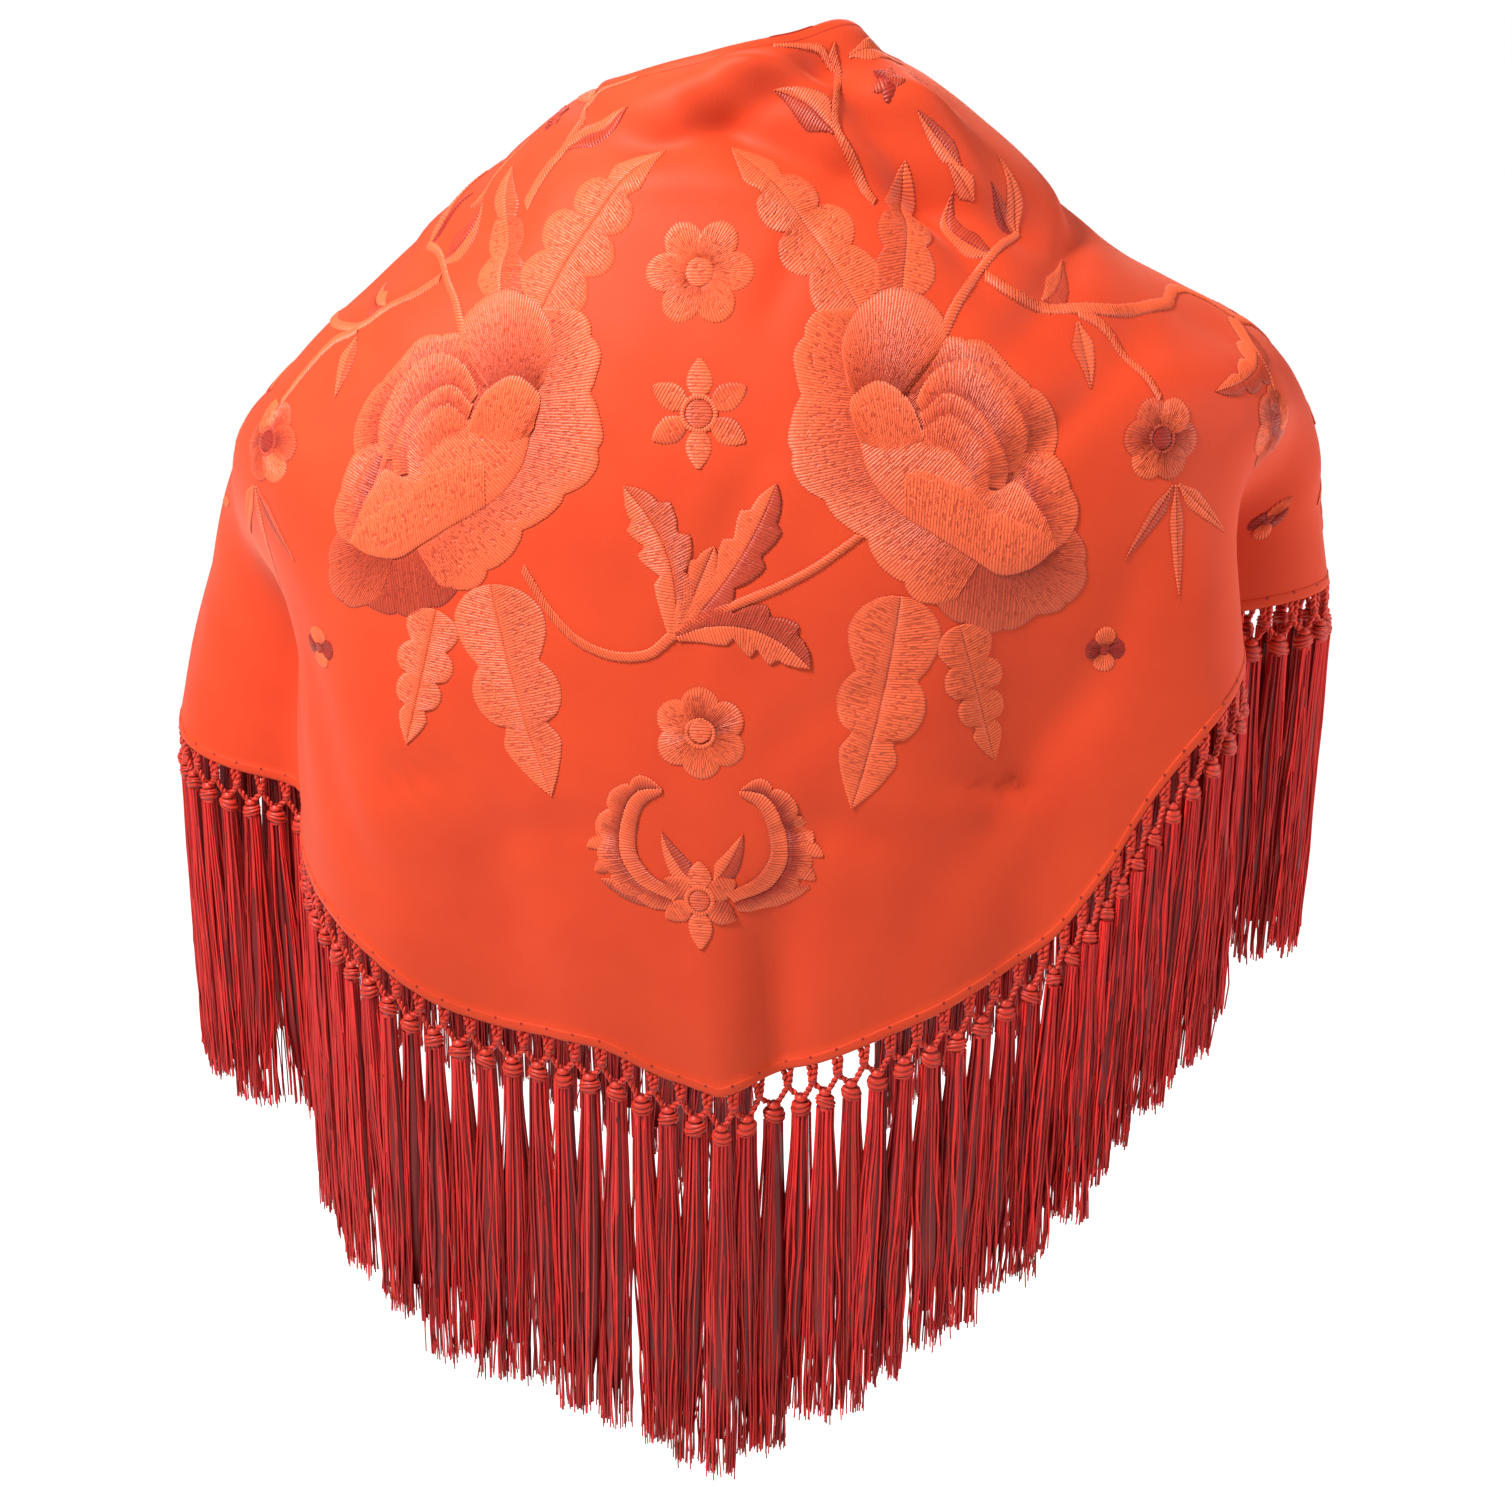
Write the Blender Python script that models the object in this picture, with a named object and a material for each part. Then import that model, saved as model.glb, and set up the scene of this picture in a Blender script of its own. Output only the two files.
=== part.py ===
"""Triangular flamenco shawl in its worn pose: a thin cloth wall, a knotted heading and tassels.

Frame: metres, +Z up, the wearer's front towards -Y, the embroidered back towards +Y and the
wearer's left towards +X. The origin lies on the neck's axis, level with the edge at the nape.
A bearing is an angle round that axis in degrees, 0 at the spine and positive to the left.
"""

from collections import namedtuple
import math

import bmesh
import bpy
import numpy as np

UP = np.array((0.0, 0.0, 1.0))

# Driving sizes of the cloth
WALL = 0.0016
COLUMNS_PER_SIDE = 50
ROWS = 20
NORMAL_STEP = 0.001

# Driving sizes of the heading and the tassels
TASSEL_PITCH = 0.0118
HEM_GAP = 0.00045
LEG_WIDTH = 0.0024
KNOT_TOP = 0.0062
KNOT_FOOT = 0.0088
STRAND_THICK = 0.0020
HEAD_TOP = 0.0140
HEAD_FOOT = 0.0220
HEAD_THICK = 0.0056
CROTCH_RISE = 0.0012
SKIRT_THICK = 0.0042
HEAD_FILL = 0.62
SKIRT_FILL = 0.76
JOINT_GAP = 0.0005
ARM_SHARE = 0.54
END_MARGIN = 0.012
RAGGED = 0.004

# Horizontal sections of the draped form, from the neck's edge down
Section = namedtuple("Section", "name height left right back front square")
SECTIONS = (
    Section("neck edge", 0.000, 0.050, 0.052, 0.056, 0.060, 2.0),
    Section("collar", -0.016, 0.070, 0.082, 0.070, 0.075, 2.0),
    Section("yoke", -0.045, 0.106, 0.117, 0.087, 0.090, 2.1),
    Section("shoulder slope", -0.080, 0.145, 0.152, 0.103, 0.104, 2.2),
    Section("shoulder point", -0.115, 0.184, 0.212, 0.115, 0.116, 2.3),
    Section("upper arm", -0.155, 0.222, 0.234, 0.123, 0.125, 2.3),
    Section("mid arm", -0.205, 0.250, 0.243, 0.128, 0.132, 2.3),
    Section("elbow", -0.295, 0.275, 0.255, 0.132, 0.138, 2.3),
    Section("waist", -0.400, 0.292, 0.268, 0.134, 0.142, 2.3),
    Section("hip", -0.520, 0.298, 0.278, 0.134, 0.144, 2.3),
)

# How far the neck's edge stands above its section, round the neck
Lift = namedtuple("Lift", "bearing rise")
NECK_LIFTS = (
    Lift(-180, 0.000),
    Lift(-95, 0.003),
    Lift(-55, 0.013),
    Lift(-25, 0.010),
    Lift(0, 0.005),
    Lift(45, -0.005),
    Lift(95, -0.010),
    Lift(180, 0.000),
)
LIFT_FADE_LEVELS = 4.0

# Folds that run down the cloth, from where they start to where they are full
Fall = namedtuple("Fall", "name bearing_top height_top bearing_foot height_foot spread depth")
FALLS = (
    Fall("left trough behind the arm", 78, -0.14, 73, -0.31, 0.050, -0.060),
    Fall("left arm crest", 100, -0.14, 98, -0.30, 0.030, 0.008),
    Fall("left back crest", 50, -0.15, 50, -0.36, 0.030, 0.004),
    Fall("left inner trough", 30, -0.24, 33, -0.38, 0.022, -0.004),
    Fall("point crest", -4, -0.26, -6, -0.40, 0.012, 0.004),
    Fall("point trough", -10, -0.26, -13, -0.40, 0.014, -0.005),
    Fall("right inner trough", -50, -0.16, -47, -0.30, 0.024, -0.010),
    Fall("right back ridge", -66, -0.13, -66, -0.24, 0.018, 0.006),
    Fall("right trough behind the arm", -80, -0.13, -80, -0.22, 0.028, -0.044),
    Fall("left front trough", 122, -0.12, 120, -0.33, 0.024, -0.009),
    Fall("left front crest", 138, -0.14, 140, -0.36, 0.026, 0.006),
    Fall("left front edge trough", 153, -0.20, 158, -0.40, 0.016, -0.005),
    Fall("right front trough", -118, -0.12, -116, -0.26, 0.022, -0.008),
    Fall("right front crest", -134, -0.13, -137, -0.31, 0.024, 0.006),
    Fall("right front edge trough", -150, -0.18, -157, -0.36, 0.018, -0.006),
)
FALL_FULL_SHARE = 0.6

# Folds that run across the cloth, their levels counted in sections from the neck's edge
Roll = namedtuple("Roll", "name bearing_a level_a bearing_b level_b spread depth")
ROLLS = (
    Roll("nape trough", 8, 0.9, -85, 2.7, 0.014, -0.010),
    Roll("nape ridge", 0, 0.2, -82, 1.6, 0.012, 0.006),
    Roll("left shoulder trough", 35, 2.2, 92, 3.1, 0.020, -0.005),
    Roll("right shoulder trough", -50, 3.4, -95, 3.7, 0.014, -0.004),
    Roll("left collar trough", 100, 1.6, 140, 2.6, 0.016, -0.005),
)
LEVEL_RUN = 0.045
ROLL_END_SHARE = 0.25

# The hem, from the point at the spine to each front end
HemStop = namedtuple("HemStop", "bearing height")
HEM_LEFT = (
    HemStop(-4, -0.3935),
    HemStop(7, -0.3872),
    HemStop(16, -0.3780),
    HemStop(25, -0.3758),
    HemStop(34, -0.3745),
    HemStop(42, -0.3665),
    HemStop(50, -0.3495),
    HemStop(57, -0.3360),
    HemStop(69, -0.3130),
    HemStop(80, -0.3010),
    HemStop(95, -0.2980),
    HemStop(110, -0.3220),
    HemStop(125, -0.3640),
    HemStop(140, -0.4060),
    HemStop(155, -0.4420),
    HemStop(171, -0.4700),
)
HEM_RIGHT = (
    HemStop(-4, -0.3935),
    HemStop(-20, -0.3790),
    HemStop(-32, -0.3640),
    HemStop(-40, -0.3530),
    HemStop(-46, -0.3410),
    HemStop(-51, -0.3260),
    HemStop(-55, -0.3030),
    HemStop(-60, -0.2710),
    HemStop(-66, -0.2430),
    HemStop(-75, -0.2220),
    HemStop(-86, -0.2160),
    HemStop(-96, -0.2200),
    HemStop(-110, -0.2420),
    HemStop(-125, -0.2820),
    HemStop(-140, -0.3280),
    HemStop(-155, -0.3720),
    HemStop(-170, -0.4100),
)

# The long edge: round the neck, then down the front opening; share is of the hem's length
EdgeStop = namedtuple("EdgeStop", "share bearing height")
EDGE_LEFT = (
    EdgeStop(0.00, -2, 0.000),
    EdgeStop(0.14, 22, 0.000),
    EdgeStop(0.30, 50, 0.000),
    EdgeStop(0.44, 75, 0.000),
    EdgeStop(0.54, 96, -0.002),
    EdgeStop(0.61, 116, -0.012),
    EdgeStop(0.69, 135, -0.050),
    EdgeStop(0.79, 147, -0.135),
    EdgeStop(0.89, 156, -0.265),
    EdgeStop(1.00, 170.4, -0.458),
)
EDGE_RIGHT = (
    EdgeStop(0.00, -2, 0.000),
    EdgeStop(0.14, -24, 0.000),
    EdgeStop(0.30, -52, 0.000),
    EdgeStop(0.44, -76, 0.000),
    EdgeStop(0.54, -97, -0.002),
    EdgeStop(0.61, -117, -0.012),
    EdgeStop(0.69, -135, -0.048),
    EdgeStop(0.79, -146, -0.122),
    EdgeStop(0.89, -154, -0.232),
    EdgeStop(1.00, -169.4, -0.398),
)
HEM_SAMPLES = 800

# How far the tassels hang below the hem, by hem length from the point, positive to the left
Drop = namedtuple("Drop", "along drop")
DROPS = (
    Drop(-0.75, 0.166),
    Drop(-0.42, 0.162),
    Drop(-0.29, 0.150),
    Drop(-0.17, 0.143),
    Drop(-0.08, 0.163),
    Drop(0.00, 0.183),
    Drop(0.12, 0.171),
    Drop(0.28, 0.167),
    Drop(0.42, 0.175),
    Drop(0.75, 0.168),
)

# Finishes: colour, roughness
CREPE = ("orange_crepe", (0.800, 0.095, 0.030, 1.0), 0.72)
SILK = ("red_silk_cord", (0.420, 0.016, 0.014, 1.0), 0.50)


def spline(stops, values, at):
    """Cubic curve through (stops, values), read at every entry of at."""
    at = np.asarray(at, float)
    stops = np.asarray(stops, float)
    values = np.asarray(values, float)
    slopes = np.gradient(values, stops)
    span = np.clip(np.searchsorted(stops, at, side="right") - 1, 0, len(stops) - 2)
    width = stops[span + 1] - stops[span]
    t = (at - stops[span]) / width
    start = (2 * t**3 - 3 * t**2 + 1) * values[span]
    start_slope = (t**3 - 2 * t**2 + t) * width * slopes[span]
    end = (3 * t**2 - 2 * t**3) * values[span + 1]
    end_slope = (t**3 - t**2) * width * slopes[span + 1]
    return start + start_slope + end + end_slope


def section_size(field, level):
    """One size of the sections, read at a level between them."""
    values = [getattr(section, field) for section in SECTIONS]
    return spline(range(len(SECTIONS)), values, level)


def level_at_height(height):
    """Level whose section lies at a height."""
    drops = [-section.height for section in SECTIONS]
    return np.interp(-np.asarray(height, float), drops, range(len(SECTIONS)))


def ring_radius(turn, level):
    """Distance of the plain form from the neck's axis; turn is a bearing in radians."""
    side = np.where(np.sin(turn) > 0, section_size("left", level), section_size("right", level))
    depth = np.where(np.cos(turn) > 0, section_size("back", level), section_size("front", level))
    square = section_size("square", level)
    reach = np.abs(np.sin(turn) / side) ** square + np.abs(np.cos(turn) / depth) ** square
    return reach ** (-1.0 / square)


def plain_form(turn, level):
    """Point on the form without its folds."""
    radius = ring_radius(turn, level)
    bearings = [lift.bearing for lift in NECK_LIFTS]
    rises = [lift.rise for lift in NECK_LIFTS]
    fade = np.clip(1 - level / LIFT_FADE_LEVELS, 0, 1) ** 2
    height = section_size("height", level) + fade * spline(bearings, rises, np.degrees(turn))
    return np.stack([radius * np.sin(turn), radius * np.cos(turn), height], axis=-1)


def smooth_ramp(share):
    """0 to 1 with a soft start and end."""
    share = np.clip(share, 0, 1)
    return share * share * (3 - 2 * share)


def fold_depth(turn, level):
    """How far the folds move the cloth out of the plain form."""
    radius = ring_radius(turn, level)
    height = section_size("height", level)
    bearing = np.degrees(turn)
    depth = np.zeros_like(radius)
    for fall in FALLS:
        down = (height - fall.height_top) / (fall.height_foot - fall.height_top)
        centre = fall.bearing_top + (fall.bearing_foot - fall.bearing_top) * np.clip(down, 0, 1)
        across = radius * np.radians(bearing - centre)
        depth += fall.depth * smooth_ramp(down / FALL_FULL_SHARE) * np.exp(-(across / fall.spread) ** 2)
    for roll in ROLLS:
        along = (bearing - roll.bearing_a) / (roll.bearing_b - roll.bearing_a)
        centre = roll.level_a + (roll.level_b - roll.level_a) * np.clip(along, 0, 1)
        across = (level - centre) * LEVEL_RUN
        ends = smooth_ramp(along / ROLL_END_SHARE) * smooth_ramp((1 - along) / ROLL_END_SHARE)
        depth += roll.depth * ends * np.exp(-(across / roll.spread) ** 2)
    return depth


def outward(surface, turn, level):
    """Unit normal of a surface function, pointing away from the wearer."""
    round_way = surface(turn + NORMAL_STEP, level) - surface(turn - NORMAL_STEP, level)
    down_way = surface(turn, level + NORMAL_STEP) - surface(turn, level - NORMAL_STEP)
    normal = np.cross(round_way, down_way)
    return normal / np.linalg.norm(normal, axis=-1, keepdims=True)


def draped(turn, level):
    """Point on the cloth's outer face, folds and all."""
    lift = fold_depth(turn, level)[..., None]
    return plain_form(turn, level) + outward(plain_form, turn, level) * lift


def hem_run(stops):
    """Bearings and heights along one hem at equal steps of its length."""
    sign = 1 if stops[-1].bearing > stops[0].bearing else -1
    fine = np.linspace(sign * stops[0].bearing, sign * stops[-1].bearing, HEM_SAMPLES)
    height = spline([sign * stop.bearing for stop in stops], [stop.height for stop in stops], fine)
    points = draped(np.radians(sign * fine), level_at_height(height))
    steps = np.linalg.norm(np.diff(points, axis=0), axis=1)
    length = np.concatenate([[0.0], np.cumsum(steps)])
    even = np.linspace(0, length[-1], COLUMNS_PER_SIDE + 1)
    return sign * np.interp(even, length, fine), np.interp(even, length, height)


def side_grid(hem_stops, edge_stops):
    """Bearing and level at each column and row of one half, spine first."""
    share = np.linspace(0, 1, COLUMNS_PER_SIDE + 1)
    hem_bearing, hem_height = hem_run(hem_stops)
    shares = [stop.share for stop in edge_stops]
    edge_bearing = spline(shares, [stop.bearing for stop in edge_stops], share)
    edge_level = level_at_height(spline(shares, [stop.height for stop in edge_stops], share))
    hem_level = level_at_height(hem_height)
    down = np.linspace(0, 1, ROWS + 1)
    bearing = edge_bearing[:, None] + (hem_bearing - edge_bearing)[:, None] * down
    level = edge_level[:, None] + (hem_level - edge_level)[:, None] * down
    return bearing, level


def cloth_points():
    """Outer and inner points of the wall, columns from the right front end to the left one."""
    right_bearing, right_level = side_grid(HEM_RIGHT, EDGE_RIGHT)
    left_bearing, left_level = side_grid(HEM_LEFT, EDGE_LEFT)
    spine_bearing = (right_bearing[:1] + left_bearing[:1]) / 2
    turn = np.radians(np.concatenate([right_bearing[:0:-1], spine_bearing, left_bearing[1:]]))
    level = np.concatenate([right_level[:0:-1], left_level])
    outer = draped(turn, level)
    inner = outer - WALL * outward(draped, turn, level)
    return outer, inner


def closed_wall(name, outer, inner, faces, finish):
    """Closed body between two matching point lists that share one list of faces."""
    mesh = bpy.data.meshes.new(name)
    bm = bmesh.new()
    outer_verts = [bm.verts.new(point) for point in outer]
    inner_verts = [bm.verts.new(point) for point in inner]
    directed = set()
    for face in faces:
        bm.faces.new([outer_verts[i] for i in face])
        bm.faces.new([inner_verts[i] for i in reversed(face)])
        directed.update(zip(face, face[1:] + face[:1]))
    for a, b in directed:
        if (b, a) not in directed:
            bm.faces.new([outer_verts[b], outer_verts[a], inner_verts[a], inner_verts[b]])
    bmesh.ops.triangulate(bm, faces=bm.faces[:])
    bmesh.ops.recalc_face_normals(bm, faces=bm.faces[:])
    bm.to_mesh(mesh)
    bm.free()
    mesh.materials.append(material(*finish))
    mesh.shade_smooth()
    mesh.set_sharp_from_angle(angle=math.radians(50))
    piece = bpy.data.objects.new(name, mesh)
    bpy.context.scene.collection.objects.link(piece)
    return piece


def material(name, colour, roughness):
    """Principled finish, made once for each name."""
    found = bpy.data.materials.get(name)
    if found:
        return found
    made = bpy.data.materials.new(name)
    made.use_nodes = True
    shader = made.node_tree.nodes["Principled BSDF"]
    shader.inputs["Base Color"].default_value = colour
    shader.inputs["Roughness"].default_value = roughness
    shader.inputs["Metallic"].default_value = 0.0
    return made


def build_cloth(outer, inner):
    """The whole triangle of cloth as one wall."""
    columns, rows = outer.shape[:2]
    faces = []
    for column in range(columns - 1):
        for row in range(rows - 1):
            corner = column * rows + row
            faces.append([corner, corner + rows, corner + rows + 1, corner + 1])
    flat_outer = outer.reshape(-1, 3)
    flat_inner = inner.reshape(-1, 3)
    return closed_wall("shawl_cloth", flat_outer, flat_inner, faces, CREPE)


class HemLine:
    """The cloth's bottom rim, read by its length from the point, positive to the left."""

    def __init__(self, outer_rim, inner_rim):
        middle = (outer_rim + inner_rim) / 2
        steps = np.linalg.norm(np.diff(middle, axis=0), axis=1)
        length = np.concatenate([[0.0], np.cumsum(steps)])
        self.length = length - length[COLUMNS_PER_SIDE]
        self.outer_rim = outer_rim
        self.inner_rim = inner_rim

    def read(self, rim, at):
        """Point of one rim at a length."""
        return np.array([np.interp(at, self.length, rim[:, axis]) for axis in range(3)])

    def frame(self, at):
        """Middle of the rim, level way along it, level way out, and level share of a step."""
        middle = (self.read(self.outer_rim, at) + self.read(self.inner_rim, at)) / 2
        reach = TASSEL_PITCH / 2
        along = self.read(self.outer_rim, at + reach) - self.read(self.outer_rim, at - reach)
        along[2] = 0.0
        level_step = np.linalg.norm(along)
        along = along / level_step
        out = np.cross(UP, along)
        return middle, along, out, min(1.0, level_step / TASSEL_PITCH)


class Fringe:
    """A chain of knots, slanting strands and tassels along one stretch of hem."""

    def __init__(self, hem):
        self.hem = hem
        self.outer = []
        self.inner = []
        self.faces = []

    def add(self, middle, out, thick):
        """One pair of points, thick apart."""
        self.outer.append(middle + out * thick / 2)
        self.inner.append(middle - out * thick / 2)
        return len(self.outer) - 1

    def knot(self, at, shift=0.0):
        """The three corners where two slanting strands and a leg meet."""
        middle, along, out, _ = self.hem.frame(at)
        middle = middle + along * shift
        half = along * LEG_WIDTH / 2
        near = self.add(middle - half - UP * KNOT_TOP, out, STRAND_THICK)
        foot = self.add(middle - UP * KNOT_FOOT, out, STRAND_THICK)
        far = self.add(middle + half - UP * KNOT_TOP, out, STRAND_THICK)
        return near, foot, far

    def leg(self, at, near, far):
        """The leg from a knot up to the rim, just clear of it."""
        top = []
        for side in (-1, 1):
            place = at + side * LEG_WIDTH / 2
            self.outer.append(self.hem.read(self.hem.outer_rim, place) - UP * HEM_GAP)
            self.inner.append(self.hem.read(self.hem.inner_rim, place) - UP * HEM_GAP)
            top.append(len(self.outer) - 1)
        self.faces.append([near, far, top[1], top[0]])

    def tassel(self, at, index):
        """A wrapped head and its skirt; returns the three points that the strands reach."""
        middle, along, out, level_share = self.hem.frame(at)
        half_head = along * level_share * TASSEL_PITCH * HEAD_FILL / 2
        half_skirt = along * level_share * TASSEL_PITCH * SKIRT_FILL / 2
        head_top = middle - UP * HEAD_TOP
        head_foot = middle - UP * HEAD_FOOT
        end = middle - UP * ragged_drop(index, at)
        crotch = self.add(head_top + UP * CROTCH_RISE, out, STRAND_THICK)
        top = [self.add(head_top + half_head * side, out, STRAND_THICK) for side in (-1, 1)]
        foot = [self.add(head_foot + half_head * side, out, HEAD_THICK) for side in (-1, 1)]
        tip = [self.add(end + half_skirt * side, out, SKIRT_THICK) for side in (-1, 1)]
        self.faces.append([top[0], foot[0], foot[1], top[1], crotch])
        self.faces.append([foot[0], tip[0], tip[1], foot[1]])
        return top[0], crotch, top[1]

    def build(self, name, first, last, own_first, own_last):
        """Tassels first to last; a knot that isn't its own is met with a small gap."""
        knots = {}
        for index in range(first, last + 2):
            at = (index - 0.5) * TASSEL_PITCH
            if index == first and not own_first:
                knots[index] = self.knot(at, JOINT_GAP)[1:]
            elif index == last + 1 and not own_last:
                knots[index] = self.knot(at, -JOINT_GAP)[:2]
            else:
                near, foot, far = self.knot(at)
                self.leg(at, near, far)
                self.faces.append([near, foot, far])
                knots[index] = (near, foot, far)
        for index in range(first, last + 1):
            left, crotch, right = self.tassel(index * TASSEL_PITCH, index)
            foot, far = knots[index][-2:]
            self.faces.append([foot, left, crotch, far])
            near, foot = knots[index + 1][:2]
            self.faces.append([crotch, right, foot, near])
        return closed_wall(name, self.outer, self.inner, self.faces, SILK)


def ragged_drop(index, at):
    """Length of one tassel below the hem, a little uneven from one to the next."""
    wave = math.sin(index * 2.4) + 0.6 * math.sin(index * 5.1 + 1.0)
    even = spline([stop.along for stop in DROPS], [stop.drop for stop in DROPS], at)
    return float(even) + RAGGED * wave


def build_fringes(outer, inner):
    """Four stretches of fringe, parted at the point's tassel and at the arms."""
    hem = HemLine(outer[:, -1], inner[:, -1])
    right_count = int((-hem.length[0] - END_MARGIN) / TASSEL_PITCH)
    left_count = int((hem.length[-1] - END_MARGIN) / TASSEL_PITCH)
    right_split = round(right_count * ARM_SHARE)
    left_split = round(left_count * ARM_SHARE)
    Fringe(hem).build("fringe_front_right", -right_count, -right_split - 1, True, False)
    Fringe(hem).build("fringe_back_right", -right_split, -1, True, True)
    Fringe(hem).build("fringe_back_left", 0, left_split, False, True)
    Fringe(hem).build("fringe_front_left", left_split + 1, left_count, False, True)


def main():
    """Clear the scene and build the cloth and its fringe."""
    for thing in list(bpy.data.objects):
        bpy.data.objects.remove(thing, do_unlink=True)
    outer, inner = cloth_points()
    build_cloth(outer, inner)
    build_fringes(outer, inner)


main()
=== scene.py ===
"""Flamenco shawl: a draped triangle of crepe, satin-stitch flowers and a knotted silk fringe.

Frame: metres, +Z up, the embroidered back towards +Y and the wearer's left towards +X. The origin
lies on the neck's axis, level with the edge at the nape. A bearing is an angle round that axis in
degrees, 0 at the spine and positive to the left. A level counts the form's sections from the neck
down. The pattern is the cloth laid flat, in millimetres: x from the spine towards the left and y
down from the nape. A motif is drawn at its distance from the embroidery's own axis, then set on
the right, on the left or on the axis itself.
"""

import logging
import math
from dataclasses import dataclass, field
from enum import Enum
from typing import Callable, NamedTuple

import bpy
import numpy as np
from mathutils import Matrix, Vector


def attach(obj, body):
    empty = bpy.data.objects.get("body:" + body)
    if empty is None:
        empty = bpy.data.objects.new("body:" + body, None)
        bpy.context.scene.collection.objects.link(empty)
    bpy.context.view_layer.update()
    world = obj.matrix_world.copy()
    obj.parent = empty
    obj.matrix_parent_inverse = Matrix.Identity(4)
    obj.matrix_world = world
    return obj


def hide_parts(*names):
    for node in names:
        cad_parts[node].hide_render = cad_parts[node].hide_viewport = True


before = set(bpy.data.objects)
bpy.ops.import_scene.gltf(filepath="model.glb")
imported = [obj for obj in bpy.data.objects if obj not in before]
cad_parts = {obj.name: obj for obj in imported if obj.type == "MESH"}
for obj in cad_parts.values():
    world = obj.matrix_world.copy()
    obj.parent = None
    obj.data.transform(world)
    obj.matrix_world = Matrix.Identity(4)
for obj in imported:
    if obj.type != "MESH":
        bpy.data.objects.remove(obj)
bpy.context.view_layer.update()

LOG = logging.getLogger("shawl")
Array = np.ndarray
MM = 0.001
UP = np.array((0.0, 0.0, 1.0))
LEFTWARD = np.array((1.0, 0.0, 0.0))
CLOTH_SLOT = "orange_crepe"
CORD_SLOT = "red_silk_cord"


class Section(NamedTuple):
    """A level cut through the draped form: height, reach to each side, squareness, in metres."""

    height: float
    left: float
    right: float
    back: float
    front: float
    square: float


SECTIONS = (
    Section(0.000, 0.050, 0.052, 0.056, 0.060, 2.0),
    Section(-0.016, 0.070, 0.082, 0.070, 0.075, 2.0),
    Section(-0.045, 0.106, 0.117, 0.087, 0.090, 2.1),
    Section(-0.080, 0.145, 0.152, 0.103, 0.104, 2.2),
    Section(-0.115, 0.184, 0.212, 0.115, 0.116, 2.3),
    Section(-0.155, 0.222, 0.234, 0.123, 0.125, 2.3),
    Section(-0.205, 0.250, 0.243, 0.128, 0.132, 2.3),
    Section(-0.295, 0.275, 0.255, 0.132, 0.138, 2.3),
    Section(-0.400, 0.292, 0.268, 0.134, 0.142, 2.3),
    Section(-0.520, 0.298, 0.278, 0.134, 0.144, 2.3),
)


class Lift(NamedTuple):
    """How far the neck's edge stands above its section at a bearing, in metres."""

    bearing: float
    rise: float


NECK_LIFTS = (
    Lift(-180, 0.000),
    Lift(-95, 0.003),
    Lift(-55, 0.013),
    Lift(-25, 0.010),
    Lift(0, 0.005),
    Lift(45, -0.005),
    Lift(95, -0.010),
    Lift(180, 0.000),
)


class Fall(NamedTuple):
    """A large fold that runs down the cloth, from where it starts to where it is full."""

    bearing_top: float
    height_top: float
    bearing_foot: float
    height_foot: float
    spread: float
    depth: float


FALLS = (
    Fall(78, -0.14, 73, -0.31, 0.050, -0.060),
    Fall(100, -0.14, 98, -0.30, 0.030, 0.008),
    Fall(50, -0.15, 50, -0.36, 0.030, 0.004),
    Fall(30, -0.24, 33, -0.38, 0.022, -0.004),
    Fall(-4, -0.26, -6, -0.40, 0.012, 0.004),
    Fall(-10, -0.26, -13, -0.40, 0.014, -0.005),
    Fall(-50, -0.16, -47, -0.30, 0.024, -0.010),
    Fall(-66, -0.13, -66, -0.24, 0.018, 0.006),
    Fall(-80, -0.13, -80, -0.22, 0.028, -0.044),
    Fall(122, -0.12, 120, -0.33, 0.024, -0.009),
    Fall(138, -0.14, 140, -0.36, 0.026, 0.006),
    Fall(153, -0.20, 158, -0.40, 0.016, -0.005),
    Fall(-118, -0.12, -116, -0.26, 0.022, -0.008),
    Fall(-134, -0.13, -137, -0.31, 0.024, 0.006),
    Fall(-150, -0.18, -157, -0.36, 0.018, -0.006),
)


class Roll(NamedTuple):
    """A fold that runs across the cloth between two bearings, its levels counted in sections."""

    bearing_a: float
    level_a: float
    bearing_b: float
    level_b: float
    spread: float
    depth: float


ROLLS = (
    Roll(8, 0.9, -85, 2.7, 0.014, -0.010),
    Roll(0, 0.2, -82, 1.6, 0.012, 0.006),
    Roll(35, 2.2, 92, 3.1, 0.020, -0.005),
    Roll(-50, 3.4, -95, 3.7, 0.014, -0.004),
    Roll(100, 1.6, 140, 2.6, 0.016, -0.005),
)


class HemStop(NamedTuple):
    """Height of the hem at a bearing."""

    bearing: float
    height: float


HEM_LEFT = (
    HemStop(-4, -0.3935),
    HemStop(7, -0.3872),
    HemStop(16, -0.3780),
    HemStop(25, -0.3758),
    HemStop(34, -0.3745),
    HemStop(42, -0.3665),
    HemStop(50, -0.3495),
    HemStop(57, -0.3360),
    HemStop(69, -0.3130),
    HemStop(80, -0.3010),
    HemStop(95, -0.2980),
    HemStop(110, -0.3220),
    HemStop(125, -0.3640),
    HemStop(140, -0.4060),
    HemStop(155, -0.4420),
    HemStop(171, -0.4700),
)
HEM_RIGHT = (
    HemStop(-4, -0.3935),
    HemStop(-20, -0.3790),
    HemStop(-32, -0.3640),
    HemStop(-40, -0.3530),
    HemStop(-46, -0.3410),
    HemStop(-51, -0.3260),
    HemStop(-55, -0.3030),
    HemStop(-60, -0.2710),
    HemStop(-66, -0.2430),
    HemStop(-75, -0.2220),
    HemStop(-86, -0.2160),
    HemStop(-96, -0.2200),
    HemStop(-110, -0.2420),
    HemStop(-125, -0.2820),
    HemStop(-140, -0.3280),
    HemStop(-155, -0.3720),
    HemStop(-170, -0.4100),
)


class EdgeStop(NamedTuple):
    """Place of the long edge at a share of the hem's length."""

    share: float
    bearing: float
    height: float


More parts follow.
